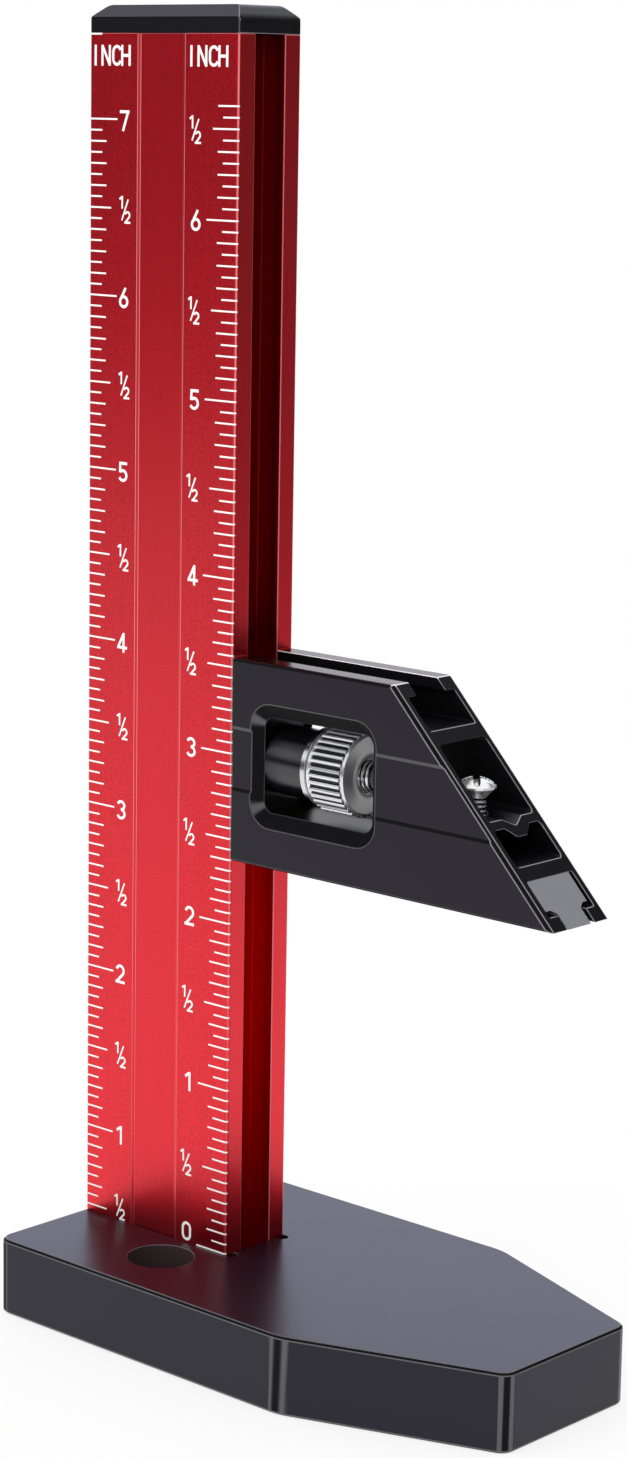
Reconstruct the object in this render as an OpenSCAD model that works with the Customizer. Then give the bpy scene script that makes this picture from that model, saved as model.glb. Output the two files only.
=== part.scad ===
// Depth and height gauge: a tapered base carries an upright slotted rail with an inch scale,
// and a measuring head with a mitred end slides on the rail and is locked by a knurled nut.
// Rail and head are sawn from the same slotted extrusion.
// Frame: X from the rail towards the pointed end of the base, Y to the back, Z up,
// origin in the middle of the underside of the base. Lengths in millimetres.

/* [Base plate] */
// Length of the base, from the rail end to the narrow end
base_l = 90; // [80:0.5:140]
// Width of the base
base_w = 50; // [44:0.5:90]
// Thickness of the base
base_t = 11.7; // [10:0.1:20]
// Width of the narrow end
base_end_w = 26.4; // [16:0.2:36]
// Length of the tapered part
base_taper_l = 32; // [15:0.5:40]
// Radius of the upright corners at both ends
base_corner_r = 2.5; // [1:0.1:4]
// Radius of the upright corners where the taper starts
base_shoulder_r = 10; // [4:0.5:14]
// Chamfer of the top and bottom edges
base_edge = 0.4; // [0.2:0.05:0.8]
// Depth of the pocket that the rail stands in
pocket_depth = 5; // [3:0.1:6]
// Diameter of the relief holes in the pocket corners
relief_d = 1.8; // [1:0.1:3]
// Diameter of the round hole in front of the rail
hole_d = 10; // [5:0.1:11]
// Distance of that hole from the rail end of the base
hole_from_end = 23.5; // [12:0.1:32]
// Distance of that hole from the front face of the rail
hole_from_rail = 7.1; // [6:0.1:10]

/* [Extrusion] */
// Width of the extrusion, slot to slot
profile_w = 30; // [28:0.1:36]
// Thickness of the extrusion
profile_t = 12.8; // [12.4:0.1:16]
// Thickness of the outer walls
wall = 1.5; // [1.2:0.05:1.8]
// Thickness of the lips beside the slots
lip_t = 1.7; // [1.2:0.05:2]
// Width of the slot mouths
slot_w = 6.1; // [5.8:0.05:7]
// Depth of the slots, mouth included
slot_depth = 5.9; // [5.6:0.05:6.4]
// Thickness of the webs behind the slots
web_t = 1.7; // [1.2:0.05:2]
// Drop of the middle web below the centre line
mid_web_drop = 1.95; // [1.6:0.05:2.3]
// Thickness of the middle web
mid_web_t = 1.05; // [0.8:0.05:1.4]
// Slope of the flanks of the groove in the middle web
groove_angle = 24; // [18:1:32]
// Thickness of the middle web under that groove
groove_floor_t = 1.3; // [1:0.05:1.5]
// Radius of the outer corners
corner_r = 0.5; // [0.2:0.05:0.8]
// Radius of the corners of the hollow cells
cell_r = 0.6; // [0.3:0.05:1]
// Distance of the shallow face band from the edge next to the small cell
band_from_edge = 10.5; // [8:0.05:11]
// Width of the shallow face band
band_w = 9.55; // [6:0.05:10]
// Depth of the shallow face band
band_d = 0.15; // [0.1:0.05:0.4]
// Width of the sloping flanks of the shallow face band
band_flank = 0.5; // [0.2:0.05:1]

/* [Rail] */
// Height of the rail above the base
rail_h = 178.3; // [140:0.1:240]
// Length of the plug in the foot of the rail
plug_l = 20; // [14:0.5:30]

/* [Rail screw] */
// Thread diameter of the screw under the base
rail_screw_d = 5; // [4:0.1:6]
// Head diameter of that screw
rail_screw_head_d = 9.6; // [8:0.1:10]
// Length of that screw
rail_screw_l = 18; // [12:0.5:20]
// Depth of its head below the underside
rail_screw_sink = 0.4; // [0.2:0.05:0.8]

/* [Top cap] */
// Height of the upright rim of the cap
cap_rim = 2.2; // [1.5:0.1:4]
// Height of the bevelled crown of the cap
cap_crown = 1.8; // [1.2:0.1:3]
// How far the crown draws in
cap_inset = 2; // [1.2:0.1:3]
// Radius of the cap's upright corners
cap_corner_r = 0.5; // [0.3:0.1:1.2]
// Radius that rounds both ends of the crown, below and above its slope
cap_end_r = 1.8; // [0.4:0.1:2]
// Length of the hollow peg in the rail
cap_peg_l = 8; // [5:0.5:15]
// Wall of the hollow peg
cap_peg_wall = 1.2; // [0.8:0.1:2]

/* [Head] */
// Length of the head along its top
head_top_l = 30.6; // [30:0.1:40]
// Length of the head along its measuring edge
head_bottom_l = 59.7; // [54:0.1:70]
// Height of the measuring edge above the base, as set
head_rest = 60.3; // [2:0.1:80]
// Chamfer of the mitred end
end_chamfer = 0.55; // [0.2:0.05:0.8]
// Distance of the window from the rail side of the head
window_from_rail = 3.7; // [2:0.1:5]
// Length of the window at the face
window_l = 24.1; // [22:0.1:26]
// Height of the window at the face
window_h = 18.2; // [17.6:0.1:18.6]
// Width of the bevel at both ends of the window
window_bevel_end = 1.65; // [1.4:0.05:1.9]
// Width of the bevel above and below the window
window_bevel_side = 2.1; // [1.6:0.1:2.2]
// Corner radius of the window at the face
window_r = 3.8; // [3:0.1:5]
// Straight land inside the bevel of the window
window_land = 0.1; // [0.05:0.05:0.5]

/* [Clamp] */
// Thread diameter of the clamp stud
stud_d = 5; // [4:0.1:5.4]
// How far the stud stands out of the nut
stud_out = 1.6; // [1:0.1:3]
// Chamfer at the ends of the stud
stud_chamfer = 0.5; // [0.3:0.1:1]
// Diameter of the black spacer sleeve
sleeve_d = 10.3; // [10:0.1:11.4]
// Length of the spacer sleeve
sleeve_l = 7.65; // [5:0.05:8]
// Diameter of the washer
washer_d = 12; // [10.5:0.1:12.4]
// Thickness of the washer
washer_t = 0.8; // [0.5:0.05:1.2]
// Diameter of the nut over the knurl
nut_d = 12.6; // [11:0.1:13]
// Length of the nut
nut_l = 7.4; // [6:0.1:8]
// Length of the plain collar next to the washer
nut_collar_l = 0.9; // [0.5:0.05:1.5]
// Length of the plain rim at the outer end of the nut
nut_rim_l = 0.6; // [0.5:0.05:1.5]
// Depth of the knurl
knurl_depth = 0.4; // [0.2:0.05:0.5]
// Number of ridges of the knurl
knurl_ridges = 36; // [24:1:48]
// Chamfer of the nut
nut_chamfer = 0.3; // [0.2:0.05:0.5]
// Rise of the nut's outer end from its rim to its bore
nut_crown = 0.3; // [0.1:0.05:0.4]
// Length of the clamp bar in the rail slot
clamp_bar_l = 20; // [14:0.5:26]
// Thickness of the clamp bar
clamp_bar_t = 3.4; // [2.8:0.1:3.8]
// Width of the clamp bar
clamp_bar_w = 9.2; // [8.4:0.1:9.4]
// Length of the guide key in the head
key_l = 4.5; // [3:0.1:5]
// Length of the key's tongue in the rail slot
tongue_l = 1.4; // [0.8:0.1:1.6]

/* [Sole bar] */
// Width of the sole bar in the bottom slot of the head
bar_w = 9; // [8.2:0.1:9.2]
// Width of the neck of the sole bar
bar_neck_w = 5.1; // [4.4:0.1:5.2]
// Thickness of the wide part of the sole bar
bar_head_t = 3.5; // [3:0.05:3.7]
// Distance of the sole bar from the rail side of the head
bar_setback = 1; // [0.5:0.1:6]
// Distance of its screw from the rail side of the head
bar_screw_from_rail = 40.7; // [33:0.1:44]
// Thread diameter of that screw
bar_screw_d = 3; // [2.5:0.1:3.4]
// Head diameter of that screw
bar_screw_head_d = 5.6; // [4.6:0.1:6]
// Rise of the domed top of that head
bar_screw_dome = 1.2; // [0.5:0.1:1.5]
// Height of the head's rim
bar_screw_rim = 0.3; // [0.2:0.05:0.5]
// Length of that screw below its dome
bar_screw_l = 15; // [12.5:0.1:16]
// Height of its head's rim above the middle web
bar_screw_stand = 3.6; // [3:0.1:4.6]

/* [Fits] */
// Gap between the head and the rail that it slides on
slide_gap = 0.1; // [0.05:0.01:0.3]
// Gap round a part that sits in a pocket or cell
seat_gap = 0.05; // [0.02:0.01:0.1]
// Radial gap of a thread
thread_gap = 0.05; // [0.02:0.01:0.08]
// Radial gap of a hole round a stud or screw
hole_gap = 0.15; // [0.1:0.01:0.3]

/* [Hidden] */

round_fn = 64;
hull_fn = 32;
// Overshoot of a cut past the face that it opens
cut_over = 1;
// Thickness of a slice that only shapes a hull
slice_t = 0.01;
// Turn of a square bar that cuts a chamfer
chamfer_turn = 45;
// Half angle of a countersunk screw head
countersink_angle = 45;
// Span, arm width and depth of a driver recess, as parts of the screw head's diameter
recess_span = 0.55;
recess_arm = 0.12;
recess_depth = 0.25;
// How far the window's cutter runs past both ends of the bevel, as part of the bevel's depth
bevel_over = 0.125;
// Half widths of a knurl ridge at its foot and at its tip, as parts of the pitch
ridge_foot = 0.38;
ridge_tip = 0.14;

red = [0.70, 0.07, 0.10];
black = [0.17, 0.17, 0.18];
plastic_black = [0.12, 0.12, 0.13];
steel = [0.80, 0.80, 0.82];
grey = [0.52, 0.52, 0.55];
bare = [0.72, 0.72, 0.74];

// Extrusion, measured across its width from one edge
inner_w = profile_t - 2 * wall;
centre_u = profile_w / 2;
stud_r = stud_d / 2;
mid_web_top = centre_u - mid_web_drop;
mid_web_bottom = mid_web_top - mid_web_t;
groove_d = (stud_r + hole_gap) / cos(groove_angle) - mid_web_drop;
groove_half_w = groove_d / tan(groove_angle);
large_cell_top = profile_w - slot_depth - web_t;
small_cell_bottom = slot_depth + web_t;
bulge_bottom = mid_web_top - groove_d - groove_floor_t;
bulge_half_w = groove_half_w + mid_web_t / 2;
bulge_tip_half_w = groove_half_w / 2;
large_cell_middle = (mid_web_top + large_cell_top) / 2;

// Rail and base
rail_x = -base_l / 2;
rail_side = rail_x + profile_w;
pocket_floor = base_t - pocket_depth;
rail_top = base_t + rail_h;
base_slope = atan((base_w - base_end_w) / 2 / base_taper_l);
plug_x = rail_side - large_cell_middle;
rail_screw_head_h = (rail_screw_head_d - rail_screw_d) / 2 / tan(countersink_angle);

// Head
head_x = rail_side + slide_gap;
head_z = base_t + head_rest;
head_cut_angle = atan((head_bottom_l - head_top_l) / profile_w);
clamp_z = head_z + centre_u;
window_inner_r = window_r - window_bevel_side;
window_inner_x = head_x + window_from_rail + window_bevel_end;
window_middle_x = head_x + window_from_rail + window_l / 2;

// Clamp, from the rail outwards
clamp_bar_x = rail_side - lip_t - slide_gap - clamp_bar_t;
sleeve_x = window_inner_x;
washer_x = sleeve_x + sleeve_l + seat_gap;
nut_x = washer_x + washer_t + seat_gap;
stud_x = clamp_bar_x;
stud_l = nut_x + nut_l + stud_out - stud_x;

// Sole bar
bar_top = slot_depth;
bar_shoulder = bar_top - bar_head_t;
bar_y = seat_gap - (inner_w - bar_w) / 2;
bar_screw_x = head_x + bar_screw_from_rail;
bar_screw_top = head_z + mid_web_top + bar_screw_stand;
bar_screw_cone_h = (bar_screw_head_d - bar_screw_d) / 2 / tan(countersink_angle);

// Rectangle with round corners, from x0 to x1 and centred across
module round_rect(x0, x1, width, radius) {
    translate([x0 + radius, -width / 2])
        square([x1 - x0 - 2 * radius, width]);
    translate([x0, -width / 2 + radius])
        square([x1 - x0, width - 2 * radius]);
    for (x = [x0 + radius, x1 - radius])
        for (y = [-1, 1])
            translate([x, y * (width / 2 - radius)])
                circle(r = radius, $fn = hull_fn);
}

// Slot with a narrow mouth, open at the lower edge of the extrusion
module t_slot() {
    translate([-cut_over, -slot_w / 2])
        square([cut_over + lip_t + cell_r, slot_w]);
    round_rect(lip_t, slot_depth, inner_w, cell_r / 2);
}

// Small cell, whose ceiling bulges under the groove of the middle web, drawn in by a gap
module small_cell(gap) {
    half_w = bulge_half_w + gap;
    tip_half_w = bulge_tip_half_w + gap;
    tip = bulge_bottom - gap;
    difference() {
        round_rect(small_cell_bottom + gap, mid_web_bottom - gap, inner_w - 2 * gap, cell_r);
        polygon([
            [mid_web_bottom + cut_over, -half_w],
            [mid_web_bottom, -half_w],
            [tip, -tip_half_w],
            [tip, tip_half_w],
            [mid_web_bottom, half_w],
            [mid_web_bottom + cut_over, half_w],
        ]);
    }
}

// Shallow band in the back face of the extrusion, with sloping flanks
module face_band() {
    face = profile_t / 2;
    band_end = band_from_edge + band_w;
    polygon([
        [band_from_edge - band_flank, face + band_d],
        [band_from_edge + band_flank, face - band_d],
        [band_end - band_flank, face - band_d],
        [band_end + band_flank, face + band_d],
    ]);
}

// Section of the extrusion: its width along X, its thickness along Y
module extrusion_section() {
    difference() {
        round_rect(0, profile_w, profile_t, corner_r);
        face_band();
        mirror([0, 1])
            face_band();
        t_slot();
        translate([profile_w, 0])
            mirror([1, 0])
                t_slot();
        round_rect(mid_web_top, large_cell_top, inner_w, cell_r);
        small_cell(0);
        polygon([
            [mid_web_top + cell_r, -groove_half_w],
            [mid_web_top, -groove_half_w],
            [mid_web_top - groove_d, 0],
            [mid_web_top, groove_half_w],
            [mid_web_top + cell_r, groove_half_w],
        ]);
    }
}

// Section swept up the rail from a height, its small cell on the head's side
module along_rail(z, length) {
    translate([rail_side, 0, z])
        rotate(180)
            linear_extrude(length)
                children();
}

// Section swept along the head, its width upright
module along_head(length) {
    translate([head_x + length, 0, head_z])
        rotate([0, -90, 0])
            linear_extrude(length)
                children();
}

// Block with the head's side outline, square at the rail and mitred at the far end
module head_outline_block() {
    translate([head_x, profile_t, head_z])
        rotate([90, 0, 0])
            linear_extrude(2 * profile_t)
                polygon([
                    [0, 0],
                    [head_bottom_l, 0],
                    [head_top_l, profile_w],
                    [0, profile_w],
                ]);
}

// Cylinder along X on the clamp's axis, with its own radius at each end
module on_clamp_axis(x, length, r0, r1) {
    translate([x, 0, clamp_z])
        rotate([0, 90, 0])
            cylinder(h = length, r1 = r0, r2 = r1, $fn = round_fn);
}

// Upright post with chamfered ends, one corner of the base
module base_corner_post(radius) {
    cylinder(h = base_edge, r1 = radius - base_edge, r2 = radius, $fn = round_fn);
    translate([0, 0, base_edge])
        cylinder(h = base_t - 2 * base_edge, r = radius, $fn = round_fn);
    translate([0, 0, base_t - base_edge])
        cylinder(h = base_edge, r1 = radius, r2 = radius - base_edge, $fn = round_fn);
}

module base_body() {
    shoulder_x = base_l / 2 - base_taper_l - base_shoulder_r * tan(base_slope / 2);
    end_y = base_end_w / 2 - base_corner_r * tan((90 - base_slope) / 2);
    hull()
        for (side = [-1, 1]) {
            translate([rail_x + base_corner_r, side * (base_w / 2 - base_corner_r), 0])
                base_corner_post(base_corner_r);
            translate([shoulder_x, side * (base_w / 2 - base_shoulder_r), 0])
                base_corner_post(base_shoulder_r);
            translate([base_l / 2 - base_corner_r, side * end_y, 0])
                base_corner_post(base_corner_r);
        }
}

module rail_pocket() {
    pocket_w = profile_t + 2 * seat_gap;
    relief_x = rail_side + seat_gap + relief_d / 4;
    translate([rail_x - cut_over, -pocket_w / 2, pocket_floor])
        cube([profile_w + seat_gap + cut_over, pocket_w, pocket_depth + cut_over]);
    for (side = [-1, 1])
        translate([relief_x, side * (pocket_w - relief_d) / 2, pocket_floor])
            cylinder(h = pocket_depth + cut_over, d = relief_d, $fn = hull_fn);
}

module base_plate() {
    hole_y = -profile_t / 2 - hole_from_rail;
    head_d = rail_screw_head_d + 2 * hole_gap;
    shank_d = rail_screw_d + 2 * hole_gap;
    color(black)
        difference() {
            base_body();
            rail_pocket();
            translate([rail_x + hole_from_end, hole_y, -cut_over])
                cylinder(h = base_t + 2 * cut_over, d = hole_d, $fn = round_fn);
            translate([plug_x, 0, -cut_over]) {
                cylinder(h = base_t, d = shank_d, $fn = round_fn);
                cylinder(h = cut_over + rail_screw_sink, d = head_d, $fn = round_fn);
            }
            translate([plug_x, 0, rail_screw_sink])
                cylinder(h = rail_screw_head_h, d1 = head_d, d2 = shank_d, $fn = round_fn);
        }
}

module rail() {
    color(red)
        along_rail(pocket_floor, pocket_depth + rail_h)
            extrusion_section();
}

// Section of a part that fills the large cell
module large_cell_fill() {
    round_rect(mid_web_top + seat_gap, large_cell_top - seat_gap, inner_w - 2 * seat_gap, cell_r);
}

module rail_plug() {
    color(bare)
        difference() {
            along_rail(pocket_floor, plug_l)
                large_cell_fill();
            translate([plug_x, 0, pocket_floor - cut_over])
                cylinder(h = plug_l + 2 * cut_over, d = rail_screw_d + 2 * thread_gap, $fn = round_fn);
        }
}

// Cross-shaped driver recess, sunk from z = 0
module driver_recess(head_d) {
    for (turn = [0, 90])
        rotate(turn)
            cube([head_d * recess_span, head_d * recess_arm, 2 * head_d * recess_depth], center = true);
}

module rail_screw() {
    color(steel)
        translate([plug_x, 0, rail_screw_sink])
            difference() {
                union() {
                    cylinder(h = rail_screw_head_h, d1 = rail_screw_head_d, d2 = rail_screw_d,
                        $fn = round_fn);
                    cylinder(h = rail_screw_l, d = rail_screw_d, $fn = round_fn);
                }
                mirror([0, 0, 1])
                    driver_recess(rail_screw_head_d);
            }
}

// Front view of the cap, half of it from its middle: a slope with a round shoulder below and above
module cap_half_front() {
    half = profile_w / 2;
    slope = atan(cap_inset / cap_crown);
    top = cap_rim + cap_crown;
    low = cap_end_r * tan(slope / 2);
    high = cap_end_r * tan((90 - slope) / 2);
    polygon([
        [-slice_t, 0],
        [half, 0],
        [half, cap_rim - low],
        [half - low * sin(slope), cap_rim + low * cos(slope)],
        [half - cap_inset + high * sin(slope), top - high * cos(slope)],
        [half - cap_inset - high, top],
        [-slice_t, top],
    ]);
    translate([half - cap_end_r, cap_rim - low])
        circle(r = cap_end_r, $fn = round_fn);
    translate([half - cap_inset - high, top - cap_end_r])
        circle(r = cap_end_r, $fn = round_fn);
}

// Side view of the cap: an upright rim and a bevelled crown
module cap_side() {
    half = profile_t / 2;
    top = cap_rim + cap_crown;
    polygon([
        [-half, 0],
        [half, 0],
        [half, cap_rim],
        [half - cap_inset, top],
        [cap_inset - half, top],
        [-half, cap_rim],
    ]);
}

// Shell of the cap: what its front, side and top views have in common
module cap_crown_block() {
    middle_x = rail_x + profile_w / 2;
    intersection() {
        translate([middle_x, profile_t, rail_top])
            rotate([90, 0, 0])
                linear_extrude(2 * profile_t) {
                    cap_half_front();
                    mirror([1, 0])
                        cap_half_front();
                }
        translate([rail_x - cut_over, 0, rail_top])
            rotate([90, 0, 90])
                linear_extrude(profile_w + 2 * cut_over)
                    cap_side();
        translate([0, 0, rail_top])
            linear_extrude(cap_rim + cap_crown)
                round_rect(rail_x, rail_side, profile_t, cap_corner_r);
    }
}

module top_cap() {
    color(plastic_black) {
        cap_crown_block();
        along_rail(rail_top - cap_peg_l, cap_peg_l + slice_t)
            difference() {
                large_cell_fill();
                round_rect(
                    mid_web_top + seat_gap + cap_peg_wall,
                    large_cell_top - seat_gap - cap_peg_wall,
                    inner_w - 2 * seat_gap - 2 * cap_peg_wall,
                    cell_r
                );
            }
    }
}

// One slice of the window's bevel, at a part of its depth below the front (-1) or back (1) face
module window_level(side, part) {
    depth = part * (wall - window_land);
    radius = window_r - part * window_bevel_side;
    half_l = window_l / 2 - part * window_bevel_end - radius;
    half_h = window_h / 2 - part * window_bevel_side - radius;
    for (x = [-1, 1])
        for (z = [-1, 1])
            translate([window_middle_x + x * half_l, side * (profile_t / 2 - depth), clamp_z + z * half_h])
                rotate([90, 0, 0])
                    cylinder(h = slice_t, r = radius, center = true, $fn = hull_fn);
}

// Opening in both walls of the head, bevelled from each face down to a straight land
module head_window() {
    opening_l = window_l - 2 * window_bevel_end;
    opening_h = window_h - 2 * window_bevel_side;
    translate([window_inner_x, 0, clamp_z])
        rotate([90, 0, 0])
            linear_extrude(profile_t, center = true)
                round_rect(0, opening_l, opening_h, window_inner_r);
    for (side = [-1, 1])
        hull() {
            window_level(side, -bevel_over);
            window_level(side, 1 + bevel_over);
        }
}

// Chamfer along the front and back edges of the mitred end
module end_chamfers() {
    side_len = end_chamfer / sin(chamfer_turn);
    for (side = [-1, 1])
        translate([head_x + head_bottom_l, side * profile_t / 2, head_z])
            rotate([0, -head_cut_angle, 0])
                rotate(chamfer_turn)
                    cube([side_len, side_len, 4 * profile_w], center = true);
}

module head_body() {
    color(black)
        difference() {
            intersection() {
                along_head(head_bottom_l)
                    extrusion_section();
                head_outline_block();
            }
            head_window();
            end_chamfers();
            translate([bar_screw_x, 0, head_z + slot_depth - cut_over])
                cylinder(h = mid_web_top - slot_depth + 2 * cut_over, d = bar_screw_d + 2 * hole_gap,
                    $fn = round_fn);
        }
}

// Section of the sole bar: a wide part behind the lips and a neck in the slot's mouth
module sole_bar_section() {
    root = (bar_w - bar_neck_w) / 4;
    translate([0, bar_y])
        polygon([
            [bar_top, -bar_w / 2],
            [bar_top, bar_w / 2],
            [bar_shoulder, bar_w / 2],
            [bar_shoulder, bar_neck_w / 2 + root],
            [bar_shoulder - root / 2, bar_neck_w / 2],
            [0, bar_neck_w / 2],
            [0, -bar_neck_w / 2],
            [bar_shoulder - root / 2, -bar_neck_w / 2],
            [bar_shoulder, -bar_neck_w / 2 - root],
            [bar_shoulder, -bar_w / 2],
        ]);
}

module sole_bar() {
    color(grey)
        difference() {
            intersection() {
                along_head(head_bottom_l)
                    sole_bar_section();
                head_outline_block();
                translate([head_x + bar_setback, -profile_t, head_z - cut_over])
                    cube([head_bottom_l, 2 * profile_t, profile_w]);
            }
            translate([bar_screw_x, 0, head_z - cut_over])
                cylinder(h = bar_top + 2 * cut_over, d = bar_screw_d + 2 * thread_gap, $fn = round_fn);
        }
}

// Domed top of the screw head, which rises from z = 0 towards -Z
module screw_dome() {
    head_r = bar_screw_head_d / 2;
    dome_r = (head_r * head_r + bar_screw_dome * bar_screw_dome) / (2 * bar_screw_dome);
    intersection() {
        translate([0, 0, dome_r - bar_screw_dome])
            sphere(r = dome_r, $fn = round_fn);
        translate([0, 0, -bar_screw_dome - cut_over])
            cylinder(h = bar_screw_dome + cut_over + slice_t, d = bar_screw_head_d, $fn = round_fn);
    }
}

module sole_bar_screw() {
    color(steel)
        translate([bar_screw_x, 0, bar_screw_top])
            mirror([0, 0, 1])
                difference() {
                    union() {
                        screw_dome();
                        cylinder(h = bar_screw_rim, d = bar_screw_head_d, $fn = round_fn);
                        translate([0, 0, bar_screw_rim])
                            cylinder(h = bar_screw_cone_h, d1 = bar_screw_head_d, d2 = bar_screw_d,
                                $fn = round_fn);
                        cylinder(h = bar_screw_l, d = bar_screw_d, $fn = round_fn);
                    }
                    translate([0, 0, -bar_screw_dome])
                        driver_recess(bar_screw_head_d);
                }
}

// Key in the rail end of the head: a prong in each hollow cell and a tongue in the rail's slot
module guide_key() {
    tongue_w = slot_w - 2 * slide_gap;
    tongue_x = rail_side - tongue_l;
    root_l = head_x + key_l - tongue_x;
    foot = small_cell_bottom + seat_gap;
    tip = large_cell_top - seat_gap;
    roots = [[foot, bulge_bottom - seat_gap], [mid_web_top + seat_gap, tip]];
    color(plastic_black)
        difference() {
            union() {
                along_head(key_l)
                    large_cell_fill();
                along_head(key_l)
                    small_cell(seat_gap);
                translate([tongue_x, -tongue_w / 2, head_z + foot])
                    cube([tongue_l + slide_gap - seat_gap, tongue_w, tip - foot]);
                for (root = roots)
                    translate([tongue_x, -tongue_w / 2, head_z + root[0]])
                        cube([root_l, tongue_w, root[1] - root[0]]);
            }
            on_clamp_axis(tongue_x - cut_over, root_l + 2 * cut_over, stud_r + hole_gap, stud_r + hole_gap);
        }
}

module clamp_bar() {
    color(steel)
        difference() {
            translate([clamp_bar_x, -clamp_bar_w / 2, clamp_z - clamp_bar_l / 2])
                cube([clamp_bar_t, clamp_bar_w, clamp_bar_l]);
            on_clamp_axis(clamp_bar_x - cut_over, clamp_bar_t + 2 * cut_over,
                stud_r + thread_gap, stud_r + thread_gap);
        }
}

module clamp_stud() {
    color(steel) {
        on_clamp_axis(stud_x, stud_chamfer, stud_r - stud_chamfer, stud_r);
        on_clamp_axis(stud_x + stud_chamfer, stud_l - 2 * stud_chamfer, stud_r, stud_r);
        on_clamp_axis(stud_x + stud_l - stud_chamfer, stud_chamfer, stud_r, stud_r - stud_chamfer);
    }
}

module clamp_sleeve() {
    color(plastic_black)
        difference() {
            on_clamp_axis(sleeve_x, sleeve_l, sleeve_d / 2, sleeve_d / 2);
            on_clamp_axis(sleeve_x - cut_over, sleeve_l + 2 * cut_over, stud_r + hole_gap, stud_r + hole_gap);
        }
}

module clamp_washer() {
    color(steel)
        difference() {
            on_clamp_axis(washer_x, washer_t, washer_d / 2, washer_d / 2);
            on_clamp_axis(washer_x - cut_over, washer_t + 2 * cut_over, stud_r + hole_gap, stud_r + hole_gap);
        }
}

// Section of the straight knurl: ridges with flat tops between shallow grooves
module knurl_section() {
    pitch = 360 / knurl_ridges;
    tip_r = nut_d / 2;
    root_r = tip_r - knurl_depth;
    ridge_corners = [[-ridge_foot, root_r], [-ridge_tip, tip_r], [ridge_tip, tip_r], [ridge_foot, root_r]];
    polygon([
        for (ridge = [0 : knurl_ridges - 1])
            for (corner = ridge_corners)
                let (angle = (ridge + corner[0]) * pitch)
                [corner[1] * cos(angle), corner[1] * sin(angle)],
    ]);
}

module knurled_nut() {
    collar_r = nut_d / 2 - knurl_depth;
    rim_r = collar_r - nut_chamfer;
    bore_r = stud_r + thread_gap;
    land_r = bore_r + 2 * nut_chamfer;
    nut_end = nut_x + nut_l;
    crown_x = nut_end - nut_crown;
    color(steel)
        difference() {
            union() {
                on_clamp_axis(nut_x, nut_chamfer, rim_r, collar_r);
                on_clamp_axis(nut_x + nut_chamfer, nut_l - 2 * nut_chamfer - nut_crown, collar_r, collar_r);
                on_clamp_axis(crown_x - nut_chamfer, nut_chamfer, collar_r, rim_r);
                on_clamp_axis(crown_x, nut_crown, rim_r, land_r);
                translate([nut_x + nut_collar_l, 0, clamp_z])
                    rotate([0, 90, 0])
                        linear_extrude(nut_l - nut_collar_l - nut_rim_l)
                            knurl_section();
            }
            on_clamp_axis(nut_x - cut_over, nut_l + 2 * cut_over, bore_r, bore_r);
            on_clamp_axis(nut_end - nut_chamfer, 2 * nut_chamfer, bore_r, bore_r + 2 * nut_chamfer);
        }
}

base_plate();
rail();
rail_plug();
rail_screw();
top_cap();
head_body();
sole_bar();
sole_bar_screw();
guide_key();
clamp_bar();
clamp_stud();
clamp_sleeve();
clamp_washer();
knurled_nut();
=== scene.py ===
"""Depth and height gauge: finishes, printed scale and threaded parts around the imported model."""

import logging
import math
from dataclasses import dataclass, field
from enum import Enum
from functools import reduce
from typing import Callable, Dict, Iterable, List, Mapping, Optional, Sequence, Tuple, Union

import bmesh
import bpy
from mathutils import Matrix, Vector


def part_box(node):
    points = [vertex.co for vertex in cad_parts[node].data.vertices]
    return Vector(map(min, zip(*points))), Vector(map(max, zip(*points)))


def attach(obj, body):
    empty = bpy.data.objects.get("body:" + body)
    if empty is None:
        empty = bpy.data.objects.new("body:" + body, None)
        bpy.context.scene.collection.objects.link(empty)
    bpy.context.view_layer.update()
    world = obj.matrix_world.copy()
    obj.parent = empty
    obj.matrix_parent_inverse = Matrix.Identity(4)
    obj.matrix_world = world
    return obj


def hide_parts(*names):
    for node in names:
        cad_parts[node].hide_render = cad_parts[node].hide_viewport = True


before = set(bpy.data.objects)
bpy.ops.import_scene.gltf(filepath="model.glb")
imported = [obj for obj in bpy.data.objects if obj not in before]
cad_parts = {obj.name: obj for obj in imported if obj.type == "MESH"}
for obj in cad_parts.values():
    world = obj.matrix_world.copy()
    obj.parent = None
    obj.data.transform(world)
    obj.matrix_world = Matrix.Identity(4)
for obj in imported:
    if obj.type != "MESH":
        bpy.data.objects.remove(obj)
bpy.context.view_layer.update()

LOG = logging.getLogger("gauge")

MM = 0.001
INCH = 25.4 * MM
SIXTEENTHS = 16
TURN = 2.0 * math.pi

Point2 = Tuple[float, float]
Point3 = Tuple[float, float, float]
Colour = Tuple[float, float, float]
Face = Tuple[int, ...]
Ring = List[Point3]
SocketInput = Union["Sock", float, int, Sequence[float], bpy.types.NodeSocket]

X_WAY: Point3 = (1.0, 0.0, 0.0)
Y_WAY: Point3 = (0.0, 1.0, 0.0)
Z_WAY: Point3 = (0.0, 0.0, 1.0)
WHITE: Colour = (1.0, 1.0, 1.0)
NOISE_MIDDLE = 0.5
HALF_TURN = 180.0

# Farther than any point of the part, in metres, and a span that holds all of it
FAR = 1.0
OPEN: Point2 = (-FAR, FAR)

# Cosine from which a face counts as square to a way, and one that no face exceeds
SQUARE_ON = 0.9
PAST_ALL = 1.01


class Body(str, Enum):
    """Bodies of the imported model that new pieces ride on."""

    STAND = "stand"
    HEAD = "head"


class Slot(str, Enum):
    """Name of a material slot of the imported model; the pieces made here don't use it."""

    STEEL = "bright_steel"


class Grain(Enum):
    """Direction in which the drawing lines of a surface run, as a squeeze of the noise."""

    NONE = (1.0, 1.0, 1.0)
    ALONG_X = (0.01, 1.0, 1.0)
    ALONG_Z = (1.0, 1.0, 0.01)


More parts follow.
